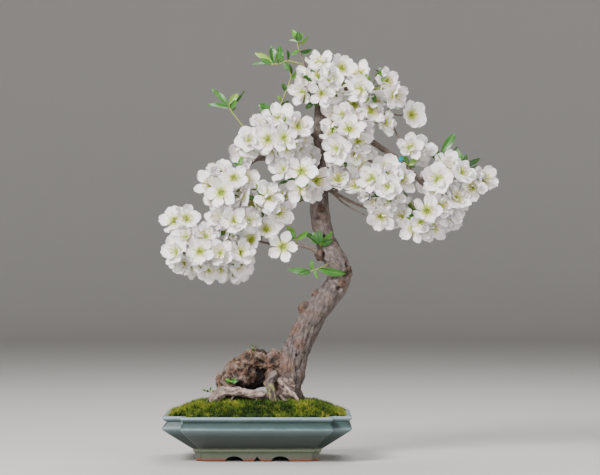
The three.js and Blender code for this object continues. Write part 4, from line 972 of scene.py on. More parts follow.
def bark(settings, name, fissure_mm, twig):
    """Quince bark, weathered: grey-brown plates between dark fissures, with decayed and mossy places, and on
    the trunk painted shade in its cracks, pits and holes and a painted highlight on the burl's ridges.
    """
    material, tree, shader = start_material(name)
    grain = add_node(tree, "ShaderNodeAttribute", attribute_name="grain")
    zone = add_node(tree, "ShaderNodeAttribute", attribute_name="zone")
    zones = add_node(tree, "ShaderNodeSeparateXYZ", {0: zone.outputs["Vector"]})
    drawn = add_node(tree, "ShaderNodeMapping", {"Vector": grain.outputs["Vector"], "Scale": (1, 1, 0.65)})
    plates = add_node(
        tree, "ShaderNodeTexNoise",
        {"Vector": drawn.outputs[0], "Scale": 1 / (fissure_mm * MM), "Detail": 6.0, "Roughness": 0.65},
    )
    place = add_node(tree, "ShaderNodeTexCoord").outputs["Object"]
    patches = add_node(tree, "ShaderNodeTexNoise", {"Vector": place, "Scale": 1 / (22 * MM), "Detail": 3.0})
    colours = [(0.28, "#2a2120"), (0.42, "#4a403d"), (0.56, "#665a57"), (0.72, "#8a7d7a")]
    if twig:
        colours = [(0.3, "#443731"), (0.48, "#62554e"), (0.62, "#7b6e67"), (0.8, "#94877f")]
    skin = add_node(tree, "ShaderNodeValToRGB", {"Fac": plates.outputs["Fac"]}, stops=colours)
    warmth = add_node(tree, "ShaderNodeMapRange", {0: patches.outputs["Fac"], 1: 0.5, 2: 0.7, 3: 0.0, 4: 0.4})
    rot = add_node(
        tree, "ShaderNodeTexNoise",
        {"Vector": place, "Scale": 1 / (9 * MM), "Detail": 6.0, "Roughness": 0.72},
    )
    decay = add_node(tree, "ShaderNodeValToRGB", {"Fac": rot.outputs["Fac"]}, stops=[
        (0.33, "#0f0b09"), (0.41, "#261b15"), (0.47, "#453023"), (0.51, "#6c432c"), (0.545, "#3c2f28"),
        (0.62, "#6a5c51"), (0.74, "#978879"),
    ])
    pale = add_node(
        tree, "ShaderNodeValToRGB", {"Fac": plates.outputs["Fac"]},
        stops=[(0.3, "#594840"), (0.5, "#9a867c"), (0.7, "#bba99f")],
    )
    film = add_node(tree, "ShaderNodeMath", {0: zones.outputs["Z"], 1: 0.7}, operation="MULTIPLY")
    stain = add_node(tree, "ShaderNodeAttribute", attribute_name="stain")
    worn = add_node(
        tree, "ShaderNodeMath", {0: stain.outputs["Fac"], 1: rot.outputs["Fac"]}, operation="MULTIPLY",
    )
    red = add_node(tree, "ShaderNodeMapRange", {0: worn.outputs[0], 1: 0.15, 2: 0.5, 3: 0.0, 4: 0.5})
    crust = add_node(
        tree, "ShaderNodeTexNoise", {"Vector": place, "Scale": 1 / (5 * MM), "Detail": 4.0, "Roughness": 0.6},
    )
    spots = add_node(tree, "ShaderNodeMapRange", {0: crust.outputs["Fac"], 1: 0.62, 2: 0.7, 3: 0.0, 4: 0.45})
    # painted shade that the trunk's skin carries in its cracks, pits and holes and behind the burl's hollow
    shade = add_node(tree, "ShaderNodeAttribute", attribute_name="shade")
    dip = add_node(tree, "ShaderNodeMath", {0: shade.outputs["Fac"], 1: 0.88}, operation="MULTIPLY")
    # laid over the plates in turn: warm flakes, the burl's decay, pale wood (bleached roots, and the burl's
    # ridges with a painted highlight), the mossy root's film, reddish stains, lichen, and the painted shade
    colour = skin.outputs["Color"]
    for share, over in (
        (warmth.outputs[0], (*settings.warm_bark, 1)),
        (zones.outputs["X"], decay.outputs["Color"]),
        (zones.outputs["Y"], pale.outputs["Color"]),
        (film.outputs[0], (*settings.algae, 1)),
        (red.outputs[0], (*settings.rust, 1)),
        (spots.outputs[0], (*settings.lichen, 1)),
        (dip.outputs[0], linear("#17100d")),
    ):
        colour = add_node(tree, "ShaderNodeMix", {0: share, 6: colour, 7: over}, data_type="RGBA").outputs[2]
    fine = add_node(
        tree, "ShaderNodeTexNoise",
        {"Vector": drawn.outputs[0], "Scale": 1 / (0.28 * fissure_mm * MM), "Detail": 4.0},
    )
    relief = add_node(
        tree, "ShaderNodeMath", {0: plates.outputs["Fac"], 1: 2.0, 2: fine.outputs["Fac"]},
        operation="MULTIPLY_ADD",
    )
    bump = add_node(
        tree, "ShaderNodeBump", {"Height": relief.outputs[0], "Distance": 0.0012, "Strength": 0.7},
    )
    feed(tree, shader, {"Base Color": colour, "Normal": bump.outputs[0], "Roughness": 0.82})
    return material


def celadon_glaze(settings):
    """Celadon glaze on stoneware, dipped and fired: satin grey-green, paler where it thins on the edges, with
    painted highlights on the belly and the lip and painted shade on the wall below the belly and in the bands
    under the lip.
    """
    material, tree, shader = start_material("celadon glaze")
    place = add_node(tree, "ShaderNodeTexCoord").outputs["Object"]
    parts = add_node(tree, "ShaderNodeSeparateXYZ", {0: place})
    # the bands' edges wander over 17 mm, the specks are 1 mm across and the waves in the glaze 9 mm
    wander = add_node(tree, "ShaderNodeTexNoise", {"Vector": place, "Scale": 60.0})
    height = add_node(
        tree, "ShaderNodeMath", {0: wander.outputs["Fac"], 1: 0.003, 2: parts.outputs["Z"]},
        operation="MULTIPLY_ADD",
    )
    scaled = add_node(
        tree, "ShaderNodeMath", {0: height.outputs[0], 1: 1 / (POT["height"] * MM)}, operation="MULTIPLY",
    )
    # by height: raw clay, then the grey-green foot band; above them painted shade on the wall below the
    # belly, on the band above the belly and in the groove under the lip, and pale belly and lip bands, where
    # the glaze thins and painted highlights lie
    bands_and_painted_light = add_node(tree, "ShaderNodeValToRGB", {"Fac": scaled.outputs[0]}, stops=[
        (0.0, "#743419"), (0.07, "#7f4529"), (0.095, "#474d40"), (0.2, "#545a47"), (0.275, "#6b7059"),
        (0.33, "#19221f"), (0.6, "#202c28"), (0.67, "#455657"), (0.745, "#6a7d80"), (0.79, "#3c4e4f"),
        (0.87, "#283634"), (0.93, "#4b5e60"), (0.985, "#7b8b90"),
    ])
    tinted = add_node(
        tree, "ShaderNodeMix", {0: 0.1, 6: bands_and_painted_light.outputs["Color"], 7: (*settings.glaze, 1)}, data_type="RGBA",
    )
    speck = add_node(tree, "ShaderNodeTexNoise", {"Vector": place, "Scale": 900.0})
    specks = add_node(
        tree, "ShaderNodeMapRange", {0: speck.outputs["Fac"], 1: 0.66, 2: 0.74, 3: 0.0, 4: 0.35},
    )
    spotted = add_node(
        tree, "ShaderNodeMix", {0: specks.outputs[0], 6: tinted.outputs[2], 7: linear("#4b4a3d")},
        data_type="RGBA",
    )
    rough = add_node(tree, "ShaderNodeMapRange", {0: scaled.outputs[0], 1: 0.07, 2: 0.095, 3: 0.85, 4: 0.3})
    waves = add_node(tree, "ShaderNodeTexNoise", {"Vector": place, "Scale": 110.0})
    bump = add_node(
        tree, "ShaderNodeBump", {"Height": waves.outputs["Fac"], "Distance": 0.0006, "Strength": 0.3},
    )
    feed(tree, shader, {
        "Base Color": spotted.outputs[2], "Roughness": rough.outputs[0], "Normal": bump.outputs[0],
    })
    return material


def moss_tissue(settings):
    """Cushion moss, grown: matt green sprigs with brown old ones, and painted light: yellower towards the
    pot's ends and front, darker towards the back and at each sprig's foot.
    """
    material, tree, shader = start_material("cushion moss")
    place = add_node(tree, "ShaderNodeTexCoord").outputs["Object"]
    patches = add_node(tree, "ShaderNodeTexNoise", {"Vector": place, "Scale": 1 / (30 * MM), "Detail": 3.0})
    tint = add_node(tree, "ShaderNodeAttribute", attribute_name="tint")
    mixed = add_node(
        tree, "ShaderNodeMath", {0: tint.outputs["Fac"], 1: 0.3, 2: patches.outputs["Fac"]},
        operation="MULTIPLY_ADD",
    )
    # painted light: yellower towards the pot's two ends and its front, and darker towards the back
    lit = add_node(tree, "ShaderNodeSeparateXYZ", {0: place})
    end = add_node(tree, "ShaderNodeMath", {0: lit.outputs["X"], 1: -SHIFT.x * MM}, operation="ADD")
    away = add_node(tree, "ShaderNodeMath", {0: end.outputs[0]}, operation="ABSOLUTE")
    ends = add_node(tree, "ShaderNodeMapRange", {0: away.outputs[0], 1: 0.03, 2: 0.12, 3: -0.05, 4: 0.1})
    front = add_node(tree, "ShaderNodeMapRange", {0: lit.outputs["Y"], 1: -0.09, 2: 0.05, 3: 0.06, 4: -0.16})
    light = add_node(tree, "ShaderNodeMath", {0: ends.outputs[0], 1: front.outputs[0]}, operation="ADD")
    # painted shade and light: each sprig darker at its foot and lighter at its end
    lie = add_node(tree, "ShaderNodeAttribute", attribute_name="lie")
    tip = add_node(tree, "ShaderNodeMapRange", {0: lie.outputs["Fac"], 1: 0.0, 2: 0.33, 3: -0.2, 4: 0.06})
    painted_light_and_shade = add_node(tree, "ShaderNodeMath", {0: light.outputs[0], 1: tip.outputs[0]}, operation="ADD")
    level = add_node(tree, "ShaderNodeMath", {0: mixed.outputs[0], 1: painted_light_and_shade.outputs[0]}, operation="ADD")
    green = add_node(
        tree, "ShaderNodeValToRGB", {"Fac": level.outputs[0]},
        stops=[(0.34, "#0f1a08"), (0.5, "#253b0e"), (0.64, "#4a6418"), (0.8, "#85852a"), (0.97, "#8b7a33")],
    )
    feed(tree, shader, {"Base Color": green.outputs["Color"], "Roughness": 0.85, "Specular IOR Level": 0.25})
    return material


def potting_grit():
    """Fired clay potting grit, damp: matt dark brown grains, with painted shade in the gaps between them."""
    material, tree, shader = start_material("potting grit")
    place = add_node(tree, "ShaderNodeTexCoord").outputs["Object"]
    grains = add_node(tree, "ShaderNodeTexVoronoi", {"Vector": place, "Scale": 1 / (4 * MM)})
    # painted shade: each grain paler in its middle and dark towards its edges, in the gaps between grains
    base = add_node(
        tree, "ShaderNodeValToRGB", {"Fac": grains.outputs["Distance"]},
        stops=[(0.0, "#6b4a35"), (0.5, "#4a3426"), (0.9, "#1e150f")],
    )
    bump = add_node(
        tree, "ShaderNodeBump", {"Height": grains.outputs["Distance"], "Distance": 0.001}, invert=True,
    )
    feed(tree, shader, {"Base Color": base.outputs["Color"], "Normal": bump.outputs[0], "Roughness": 0.95})
    return material


def polyethylene():
    """Drain mesh, moulded polyethylene: dull black."""
    material, tree, shader = start_material("drain mesh polyethylene")
    place = add_node(tree, "ShaderNodeTexCoord").outputs["Object"]
    # dust in patches of 3 mm
    dust = add_node(tree, "ShaderNodeTexNoise", {"Vector": place, "Scale": 300.0})
    base = add_node(
        tree, "ShaderNodeValToRGB", {"Fac": dust.outputs["Fac"]}, stops=[(0.4, "#1a1b1a"), (0.7, "#33302b")],
    )
    feed(tree, shader, {"Base Color": base.outputs["Color"], "Roughness": 0.6})
    return material


def tying_tape(settings):
    """Tying tape, stretched vinyl: smooth teal with creases round the branch."""
    material, tree, shader = start_material("vinyl tying tape")
    place = add_node(tree, "ShaderNodeTexCoord").outputs["Object"]
    creases = add_node(tree, "ShaderNodeTexNoise", {"Vector": place, "Scale": 1 / (1.5 * MM), "Detail": 2.0})
    base = add_node(
        tree, "ShaderNodeMix", {0: creases.outputs["Fac"], 6: (*settings.tape, 1), 7: linear("#2f9aa0")},
        data_type="RGBA",
    )
    bump = add_node(tree, "ShaderNodeBump", {"Height": creases.outputs["Fac"], "Distance": 0.0004})
    feed(tree, shader, {"Base Color": base.outputs[2], "Normal": bump.outputs[0], "Roughness": 0.42})
    return material


def studio_paper(settings):
    """Background paper, matt and pale, with the faintest mottle."""
    material, tree, shader = start_material("studio paper")
    place = add_node(tree, "ShaderNodeTexCoord").outputs["Object"]
    # patches a third of a metre across
    mottle = add_node(tree, "ShaderNodeTexNoise", {"Vector": place, "Scale": 3.0})
    darker = (*(0.96 * c for c in settings.paper), 1)
    base = add_node(
        tree, "ShaderNodeMix", {0: mottle.outputs["Fac"], 6: (*settings.paper, 1), 7: darker},
        data_type="RGBA",
    )
    feed(tree, shader, {"Base Color": base.outputs[2], "Roughness": 0.9})
    return material


# Shapes that the trees repeat


def blade(name, half_width, height, rows, columns, thickness, rounding=0.0, dent=0.0):
    """A closed thin blade of unit length along +X. half_width(u) and height(u, v) give its form, rounding
    draws its sides back from the tip and dent its middle."""
    bm = bmesh.new()
    lie = bm.verts.layers.float_vector.new("lie")
    sheets = []
    for side in (1, -1):
        sheet = []
        for i in range(rows + 1):
            u = i / rows
            row = []
            for j in range(columns + 1):
                v = 2 * j / columns - 1
                rim = i in (0, rows) or j in (0, columns)
                if rim and sheets:
                    row.append(sheets[0][i][j])
                    continue
                x = u - rounding * u**3 * v * v - dent * u**3 * max(0, 1 - 2 * abs(v))
                thick = 0 if rim else side * thickness / 2
                vert = bm.verts.new((x, v * half_width(u), height(u, v) + thick))
                vert[lie] = (u, v, 0)
                row.append(vert)
            sheet.append(row)
        sheets.append(sheet)
        for i in range(rows):
            for j in range(columns):
                face = [sheet[i][j], sheet[i + 1][j], sheet[i + 1][j + 1], sheet[i][j + 1]]
                bm.faces.new(face if side == 1 else face[::-1])
    border = {
        vert for i, row in enumerate(sheets[0]) for j, vert in enumerate(row)
        if i in (0, rows) or j in (0, columns)
    }
    for edge in bm.edges:
        edge.smooth = not (edge.verts[0] in border and edge.verts[1] in border)
    return mesh_of(bm, name)


def petal_mesh(number):
    """A spoon-shaped, ruffled petal, narrow at its claw and broad near its tip, some with a dented tip."""
    spoon = between(0.04, 0.2, draw(4000 + number))
    curl = between(0.02, 0.24, draw(4020 + number))
    ruffle = between(0.02, 0.06, draw(4040 + number))
    start = 6 * draw(4060 + number)
    broad = between(0.37, 0.46, draw(4080 + number))
    tip = between(-0.16, 0.14, draw(4100 + number))
    dent = between(-0.02, 0.09, draw(4120 + number))

    def half_width(u):
        swell = math.sin(min(1, u / 0.66) * math.pi / 2) ** 1.6
        narrowing = 1 if u < 0.66 else math.sqrt(1 - 0.66 * ((u - 0.66) / 0.34) ** 2)
        return 0.07 + (broad - 0.07) * swell * narrowing

    def height(u, v):
        dish = spoon * ((2 * u - 1) ** 2 - 1) + curl * v * v * u
        waves = math.sin(4.6 * v + start + 2 * u) + 0.5 * math.sin(9 * v + 2 * start)
        return dish + tip * max(0, u - 0.55) ** 2 * 4 + ruffle * u * u * waves

    return blade(f"petal {number}", half_width, height, 8, 8, 0.03, 0.17, dent)


def leaf_mesh(number):
    """A toothed quince leaf, folded along its rib and bent down at its tip."""
    fold = between(0.1, 0.28, draw(4200 + number))
    droop = between(0.1, 0.3, draw(4220 + number))
    broad = between(0.17, 0.24, draw(4240 + number))
    blunt = between(0.5, 0.62, draw(4260 + number))
    wave = between(-0.02, 0.02, draw(4280 + number))

    def half_width(u):
        share = u / blunt * math.pi / 2 if u < blunt else math.pi / 2 * (1 + (u - blunt) / (1 - blunt))
        tooth = 1 + 0.045 * (-1) ** round(u * 14) if 0.15 < u < 0.95 else 1
        return 0.018 + broad * math.sin(share) ** 0.8 * tooth

    def height(u, v):
        folded = fold * broad * abs(v) * 2 * math.sin(math.pi * min(1, u + 0.1))
        return folded - droop * u * u + wave * math.sin(9 * u + 2 * v)

    return blade(f"leaf {number}", half_width, height, 14, 4, 0.014)


def stamen_mesh():
    """A thin filament with an anther on its end, unit length along +Z."""
    bm = bmesh.new()
    lie = bm.verts.layers.float_vector.new("lie")
    levels = [(0, 0.03, 0), (0.45, 0.025, 0.4), (0.8, 0.022, 0.7), (0.83, 0.085, 0.95), (0.96, 0.1, 1)]
    rings = []
    for z, radius, place in levels:
        bow = 0.08 * z * z
        ring = []
        for k in range(4):
            angle = k * math.pi / 2
            vert = bm.verts.new((bow + radius * math.cos(angle), radius * math.sin(angle), z))
            vert[lie] = (place, 0, 0)
            ring.append(vert)
        rings.append(ring)
    wrap_rings(bm, rings, capped=False)
    top = bm.verts.new((0.08, 0, 1.0))
    top[lie] = (1, 0, 0)
    for k in range(4):
        bm.faces.new([rings[-1][k], rings[-1][(k + 1) % 4], top])
    bm.faces.new(rings[0][::-1])
    return mesh_of(bm, "stamen")


def turned_mesh(name, profile, sides):
    """A closed form turned round +Z from a profile of (radius, height), whose ends stand on the axis."""
    bm = bmesh.new()
    rings = []
    for radius, z in profile[1:-1]:
        angles = [2 * math.pi * k / sides for k in range(sides)]
        rings.append([bm.verts.new((radius * math.cos(a), radius * math.sin(a), z)) for a in angles])
    first = bm.verts.new((0, 0, profile[0][1]))
    last = bm.verts.new((0, 0, profile[-1][1]))
    wrap_rings(bm, rings, capped=False)
    for k in range(sides):
        bm.faces.new([rings[0][(k + 1) % sides], rings[0][k], first])
        bm.faces.new([rings[-1][k], rings[-1][(k + 1) % sides], last])
    return mesh_of(bm, name)


def calyx_mesh():
    """The green cup behind a flower, for a flower of unit radius."""
    profile = [(0, -0.3), (0.05, -0.3), (0.09, -0.22), (0.13, -0.12), (0.19, 0.0), (0.18, 0.03), (0, -0.02)]
    return turned_mesh("calyx", profile, 10)


def sprig_mesh(number):
    """A moss sprig: a few closed spikes that lean out from one foot, about 1 mm a unit."""
    bm = bmesh.new()
    lie = bm.verts.layers.float_vector.new("lie")
    for k in range(6):
        seed = 4400 + number * 10 + k
        angle = k * GOLDEN_ANGLE + number
        lean = between(0.1, 1.15, draw(seed))
        length = between(1.6, 3.6, draw(seed + 100))
        out = Vector((math.cos(angle) * math.sin(lean), math.sin(angle) * math.sin(lean), math.cos(lean)))
        side = out.orthogonal().normalized()
        other = out.cross(side)
        foot = [
            bm.verts.new(out * 0.1 + (side * math.cos(a) + other * math.sin(a)) * 0.34)
            for a in (0, 2 * math.pi / 3, 4 * math.pi / 3)
        ]
        tip = bm.verts.new(out * length + Vector((0, 0, 0.3)))
        tip[lie] = (1, 0, 0)
        for i in range(3):
            bm.faces.new([foot[i], foot[(i + 1) % 3], tip])
        bm.faces.new(foot[::-1])
    bmesh.ops.recalc_face_normals(bm, faces=bm.faces)
    mesh = bpy.data.meshes.new(f"sprig {number}")
    bm.to_mesh(mesh)
    bm.free()
    mesh.transform(Matrix.Scale(MM, 4))
    return mesh


# Wood


def nearest_limb(names):
    """A lookup of points along the named limbs' middle lines, with their directions and distances along."""
    rows = []
    for number, name in enumerate(names):
        path = smooth_path(LIMBS[name], 3)
        along = np.concatenate([[0], np.cumsum(np.linalg.norm(np.diff(path[:, :3], axis=0), axis=1))])
        tangents = np.gradient(path[:, :3], axis=0)
        tangents /= np.linalg.norm(tangents, axis=1, keepdims=True)
        rows += [(number, p, t, a) for p, t, a in zip(path, tangents, along)]
    tree = kdtree.KDTree(len(rows))
    for i, (_, p, _, _) in enumerate(rows):
        tree.insert(p[:3], i)
    tree.balance()
    return rows, tree


THICK_LIMBS = [
    "trunk", "root_left", "root_mossy", "root_outer", "root_right", "root_back", "burl_foot", "burl_wall",
]


def burl_share(p):
    """How far a point belongs to the old burl or a stub, from 0 to 1."""

    def off(lumps):
        return min(math.hypot((p.x - x) / a, (p.y - y) / b, (p.z - z) / c) for x, y, z, a, b, c in lumps)

    from_trunk = (p.x - 26) / 20
    rotten = clamp((1.45 - off(BURL)) * 3) * clamp(1 - from_trunk)
    return max(rotten, 0.8 * clamp((1.3 - off(KNOTS)) * 3))


def nearness(p, spots):
    """How near a point is to the middle of the nearest of the round spots (x, y, z, radius), from 0 to 1."""
    return max(max(0.0, 1 - math.dist(p, spot[:3]) / spot[3]) for spot in spots)


def bark_heights(points, rows, tree, settings):
    """For each point of the trunk: how far it moves out in mm, its place in the grain, its shares of burl,
    pale wood (bleached roots, and a painted highlight on the burl's ridges) and moss, how much painted shade
    it takes and how stained it is."""
    heights, grains, zones, painted_shades, stains = [], [], [], [], []
    for point in points:
        p = Vector(point)
        found = tree.find_n(p, 10)
        best = min(found, key=lambda item: item[2] - rows[item[1]][1][3])
        number, place, tangent, along = rows[best[1]]
        off = p - Vector(place[:3])
        tangent = Vector(tangent)
        off -= tangent * off.dot(tangent)
        across = tangent.cross(Vector((0, 1, 0))).normalized()
        front = tangent.cross(across)
        twist = along * settings.twist
        side, ahead = off.dot(across), off.dot(front)
        grain = Vector((
            side * math.cos(twist) - ahead * math.sin(twist),
            side * math.sin(twist) + ahead * math.cos(twist),
            along + 400 * number,
        ))
        burl = burl_share(p)
        limb = THICK_LIMBS[number]
        root = 1.0 if limb in ("root_left", "root_outer") and p.z < 118 else 0.0
        mossy = 1.0 if limb == "root_mossy" and p.z < 110 and noise.noise(p / 5) > 0 else 0.0
        low = clamp((240 - p.z) / 90)
        drawn = Vector((grain.x, grain.y, grain.z * 0.32))
        ridges = 1 - abs(noise.noise(drawn / 5.5)) * 2
        cracks = max(0.0, 1 - abs(noise.noise(drawn / 7 + Vector((9, 3, 5)))) * 5)
        fine = noise.noise(drawn / 2.2) + 0.5 * noise.noise(p / 1.6)
        plain = noise.noise(p / 14)
        depth = between(0.3, settings.fissures, low)
        plates = depth * (fine * 0.55 - ridges * 0.5 + 0.3 - 1.1 * cracks) + 1.3 * plain
        wrinkles = 0.5 * math.sin(grain.z / 1.9 + 3 * noise.noise(p / 9)) if root else 0
        bent = p + 5 * Vector((noise.noise(p / 9), noise.noise(p / 11), noise.noise(p / 8)))
        cells = noise.voronoi(bent / 10.5)[0]
        leant = Vector((bent.x + 0.5 * bent.z, bent.y, 0.45 * bent.z - 0.3 * bent.x))
        flakes = 1 - 2.6 * abs(noise.noise(leant / 4.2))
        rot = settings.pits * (min(1.3, cells[0] * 1.5) - 0.72) + 2.3 * (flakes - 0.25)
        rot += 0.9 * noise.noise(p / 1.7) + 3 * noise.noise(p / 13)
        if p.z > STUBS_ABOVE:
            rot = 0.35 * rot + 1.8 * (flakes - 0.3) + 2.4 * noise.noise(p / 3.8)
        hole = nearness(p, HOLES)
        sunk = -6 * hole + (1.6 if 0 < hole < 0.35 else 0)
        heights.append(settings.skin / MM + between(plates + wrinkles, rot, burl) + sunk)
        grains.append(grain * MM)
        # the burl's raised ridges take the pale wood: weathered wood with a painted highlight
        crest_highlight = burl * max(0.0, min(0.3, (rot - 0.9) / 6)) if p.z < STUBS_ABOVE else 0.0
        zones.append((burl, max(crest_highlight, root * (1 - burl)), mossy * (1 - burl)))
        # painted shade: darker in the lower trunk's cracks, in the low spots of the fine grain and in the
        # burl's pits
        shade = between(0.85 * low * cracks + 0.25 * max(0, -fine), clamp(0.1 - rot / 2.2), burl)
        # painted shade: the wall behind the burl's hollow is darkened
        behind = 0.9 if limb == "burl_wall" and p.y > -4 else 0
        # painted shade: darker towards the middle of each hole
        painted_shades.append(min(1.0, max(shade, behind, 1.6 * max(0, hole - 0.3))))
        stains.append(min(1.0, 1.8 * nearness(p, STAINS)) * (1 - burl))
    return heights, grains, zones, painted_shades, stains


def trunk_mesh(settings, tree, finish):
    """The trunk, thick roots and burl as one skin, with fissured bark and craggy rot."""
    bm = bmesh.new()
    paths = path_mesh("thick limbs", [LIMBS[name] for name in THICK_LIMBS], 4)
    tubes = grow_mesh("thick limbs", paths, tree, Sides=20, Swelling=0.0, Finish=finish)
    bm.from_mesh(tubes)
    for x, y, z, a, b, c in BURL + KNOTS:
        place = Matrix.Translation(to_scene((x, y, z))) @ Matrix.Diagonal((a * MM, b * MM, c * MM, 1))
        bmesh.ops.create_icosphere(bm, subdivisions=3, radius=1, matrix=place)
    rough = bpy.data.meshes.new("rough trunk")
    bm.to_mesh(rough)
    bm.free()
    holder = add_object("rough trunk", rough)
    remesh = holder.modifiers.new("skin", "REMESH")
    remesh.mode = "VOXEL"
    remesh.voxel_size = settings.voxel
    smooth = holder.modifiers.new("even", "SMOOTH")
    smooth.factor = 0.5
    smooth.iterations = 6
    mesh = settled(holder)
    count = len(mesh.vertices)
    points = np.zeros(count * 3)
    normals = np.zeros(count * 3)
    mesh.vertices.foreach_get("co", points)
    mesh.vertices.foreach_get("normal", normals)
    points = points.reshape(-1, 3) / MM - np.array(SHIFT)
    normals = normals.reshape(-1, 3)
    rows, lookup = nearest_limb(THICK_LIMBS)
    heights, grains, zones, painted_shades, stains = bark_heights(points, rows, lookup, settings)
    points = points + normals * np.array(heights)[:, None]
    mesh.vertices.foreach_set("co", ((points + np.array(SHIFT)) * MM).ravel())
    for label, values in (("grain", grains), ("zone", zones)):
        flat = np.array([tuple(v) for v in values], np.float32).ravel()
        mesh.attributes.new(label, "FLOAT_VECTOR", "POINT").data.foreach_set("vector", flat)
    for label, values in (("shade", painted_shades), ("stain", stains)):
        mesh.attributes.new(label, "FLOAT", "POINT").data.foreach_set("value", values)
    mesh.materials.clear()
    mesh.materials.append(finish)
    mesh.shade_smooth()
    mesh.update()
    return mesh


def flared(points):
    """A branch's points with a collar where it leaves the wood and a short blunt tip."""
    collar = (*points[0][:3], points[0][3] * 1.25)
    last, before = Vector(points[-1][:3]), Vector(points[-2][:3])
    tip = last + (last - before).normalized() * points[-1][3] * 0.8
    return [collar, *points[1:], (*tip, points[-1][3] * 0.3)]


# Pot and ground


def notched_outline(inset, inward, rounding):
    """The pot's outline as (x, y) points anticlockwise, its outer corners rounded."""
    half = [POT["width"] / 2 - inset - inward, POT["depth"] / 2 - inset - inward]
    notch = [NOTCH["x"] - NOTCH["shrink_x"] * inset, NOTCH["y"] - NOTCH["shrink_y"] * inset]
    inner = [half[0] - notch[0], half[1] - notch[1]]
    corners = []
    for sx, sy in ((1, 1), (-1, 1), (-1, -1), (1, -1)):
        three = [(half[0], inner[1]), (inner[0], inner[1]), (inner[0], half[1])]
        three = [(sx * x, sy * y) for x, y in three]
        corners += three if sx * sy > 0 else three[::-1]
    outline = []
    for i, corner in enumerate(corners):
        here = Vector(corner)
        before = (Vector(corners[i - 1]) - here).normalized()
        after = (Vector(corners[(i + 1) % len(corners)]) - here).normalized()
        radius = rounding if i % 3 != 1 else rounding * 0.6
        centre = here + (before + after) * radius
        for k in range(6):
            angle = k / 5 * math.pi / 2
            outline.append(centre - after * radius * math.cos(angle) - before * radius * math.sin(angle))
    return outline


def divided(outline, like, step):
    """The outline with each side in as many parts as the like side of another outline has steps."""
    made = []
    for i, point in enumerate(outline):
        j = (i + 1) % len(outline)
        parts = max(1, round((like[j] - like[i]).length / step))
        made += [point.lerp(outline[j], k / parts) for k in range(parts)]
    return made


def softened(points, cut, rounds):
    """The chain of points with its corners cut, keeping both ends."""
    points = [Vector(p) for p in points]
    for _ in range(rounds):
        made = [points[0]]
        for a, b in zip(points, points[1:]):
            made += [a.lerp(b, cut), a.lerp(b, 1 - cut)]
        points = [*made, points[-1]]
    return points


def cut_mesh(mesh, cutters):
    """A mesh after closed cutters are taken out of it."""
    holder = add_object("to cut", mesh)
    tools = [add_object("cutter", cutter) for cutter in cutters]
    for tool in tools:
        modifier = holder.modifiers.new("cut", "BOOLEAN")
        modifier.operation = "DIFFERENCE"
        modifier.solver = "EXACT"
        modifier.object = tool
    whole = settled(holder)
    for tool in tools:
        bpy.data.objects.remove(tool)
    return whole


def prism(outline, axis, length):
    """A closed prism of an (across, up) outline, along X or Y through the middle."""
    bm = bmesh.new()
    ends = []
    for side in (-0.5, 0.5):
        ring = []
        for across, up in outline:
            place = (across, side * length, up) if axis == "Y" else (side * length, across, up)
            ring.append(bm.verts.new(to_scene(place)))
        ends.append(ring)
    wrap_rings(bm, ends)
    bmesh.ops.recalc_face_normals(bm, faces=bm.faces)
    return mesh_of(bm, "prism")


def arch(middle, width, height, power):
    """An arch's outline from below the foot, as (across, up) points: round where power is 0, else with sides
    that rise with that power."""
    made = [(middle - width / 2, -1)]
    for i in range(17):
        across = -math.cos(i / 16 * math.pi)
        rise = math.sqrt(max(0, 1 - across * across)) if power == 0 else (1 - abs(across)) ** power
        made.append((middle + across * width / 2, 0.02 + rise * height))
    return [*made, (middle + width / 2, -1)]


def pot_mesh(settings, finish):
    """The pot: its profile carried round the notched outline, then the apron's arches and the drains cut."""
    profile = softened(POT_PROFILE, 0.18, 2)
    bm = bmesh.new()
    rings = []
    for z, inset, inward in profile:
        outline = notched_outline(inset, inward, settings.rounding / MM)
        rings.append([bm.verts.new(to_scene((p.x, p.y, z))) for p in outline])
    wrap_rings(bm, rings)
    wide, high, through = ARCHES["width"], ARCHES["height"], POT["depth"] + 15
    cutters = [
        prism(arch(-ARCHES["from_middle"], wide, high, 0), "Y", through),
        prism(arch(0, ARCHES["middle_width"], ARCHES["middle_height"], 1.3), "Y", through),
        prism(arch(ARCHES["from_middle"], wide, high, 0), "Y", through),
        prism(arch(0, wide, high, 0), "X", POT["width"] + 20),
    ]
    radius, above = DRAIN["radius"], POT["floor"] + 13
    for side in (-1, 1):
        hole = turned_mesh("drain", [(0, 0), (radius, 0), (radius, above), (0, above)], 40)
        hole.transform(Matrix.Translation((side * DRAIN["from_middle"], 0, 0)))
        hole.transform(Matrix.Scale(MM, 4))
        hole.transform(Matrix.Translation(SHIFT * MM))
        cutters.append(hole)
    mesh = cut_mesh(mesh_of(bm, "pot"), cutters)
    mesh.materials.clear()
    mesh.materials.append(finish)
    mesh.shade_smooth()
    mesh.set_sharp_from_angle(angle=math.radians(32))
    return mesh


def swelling(x, y):
    """How much the ground swells at a place in the pot, from 0 to about 1."""
    across = max(0, 1 - (abs(x) / (POT["width"] / 2)) ** 5)
    along = max(0, 1 - (abs(y) / (POT["depth"] / 2)) ** 4)
    return (across * along) ** 0.7


def ground_height(x, y):
    """The height of the moss at a place in the pot, before it rolls down to the rim."""
    lumps = 1.3 * noise.noise(Vector((x, y, 0)) / 13) + 0.7 * noise.noise(Vector((x, y, 5)) / 5)
    return GROUND["edge"] + GROUND["crown"] * swelling(x, y) + GROUND["moss"] + lumps - 1.5


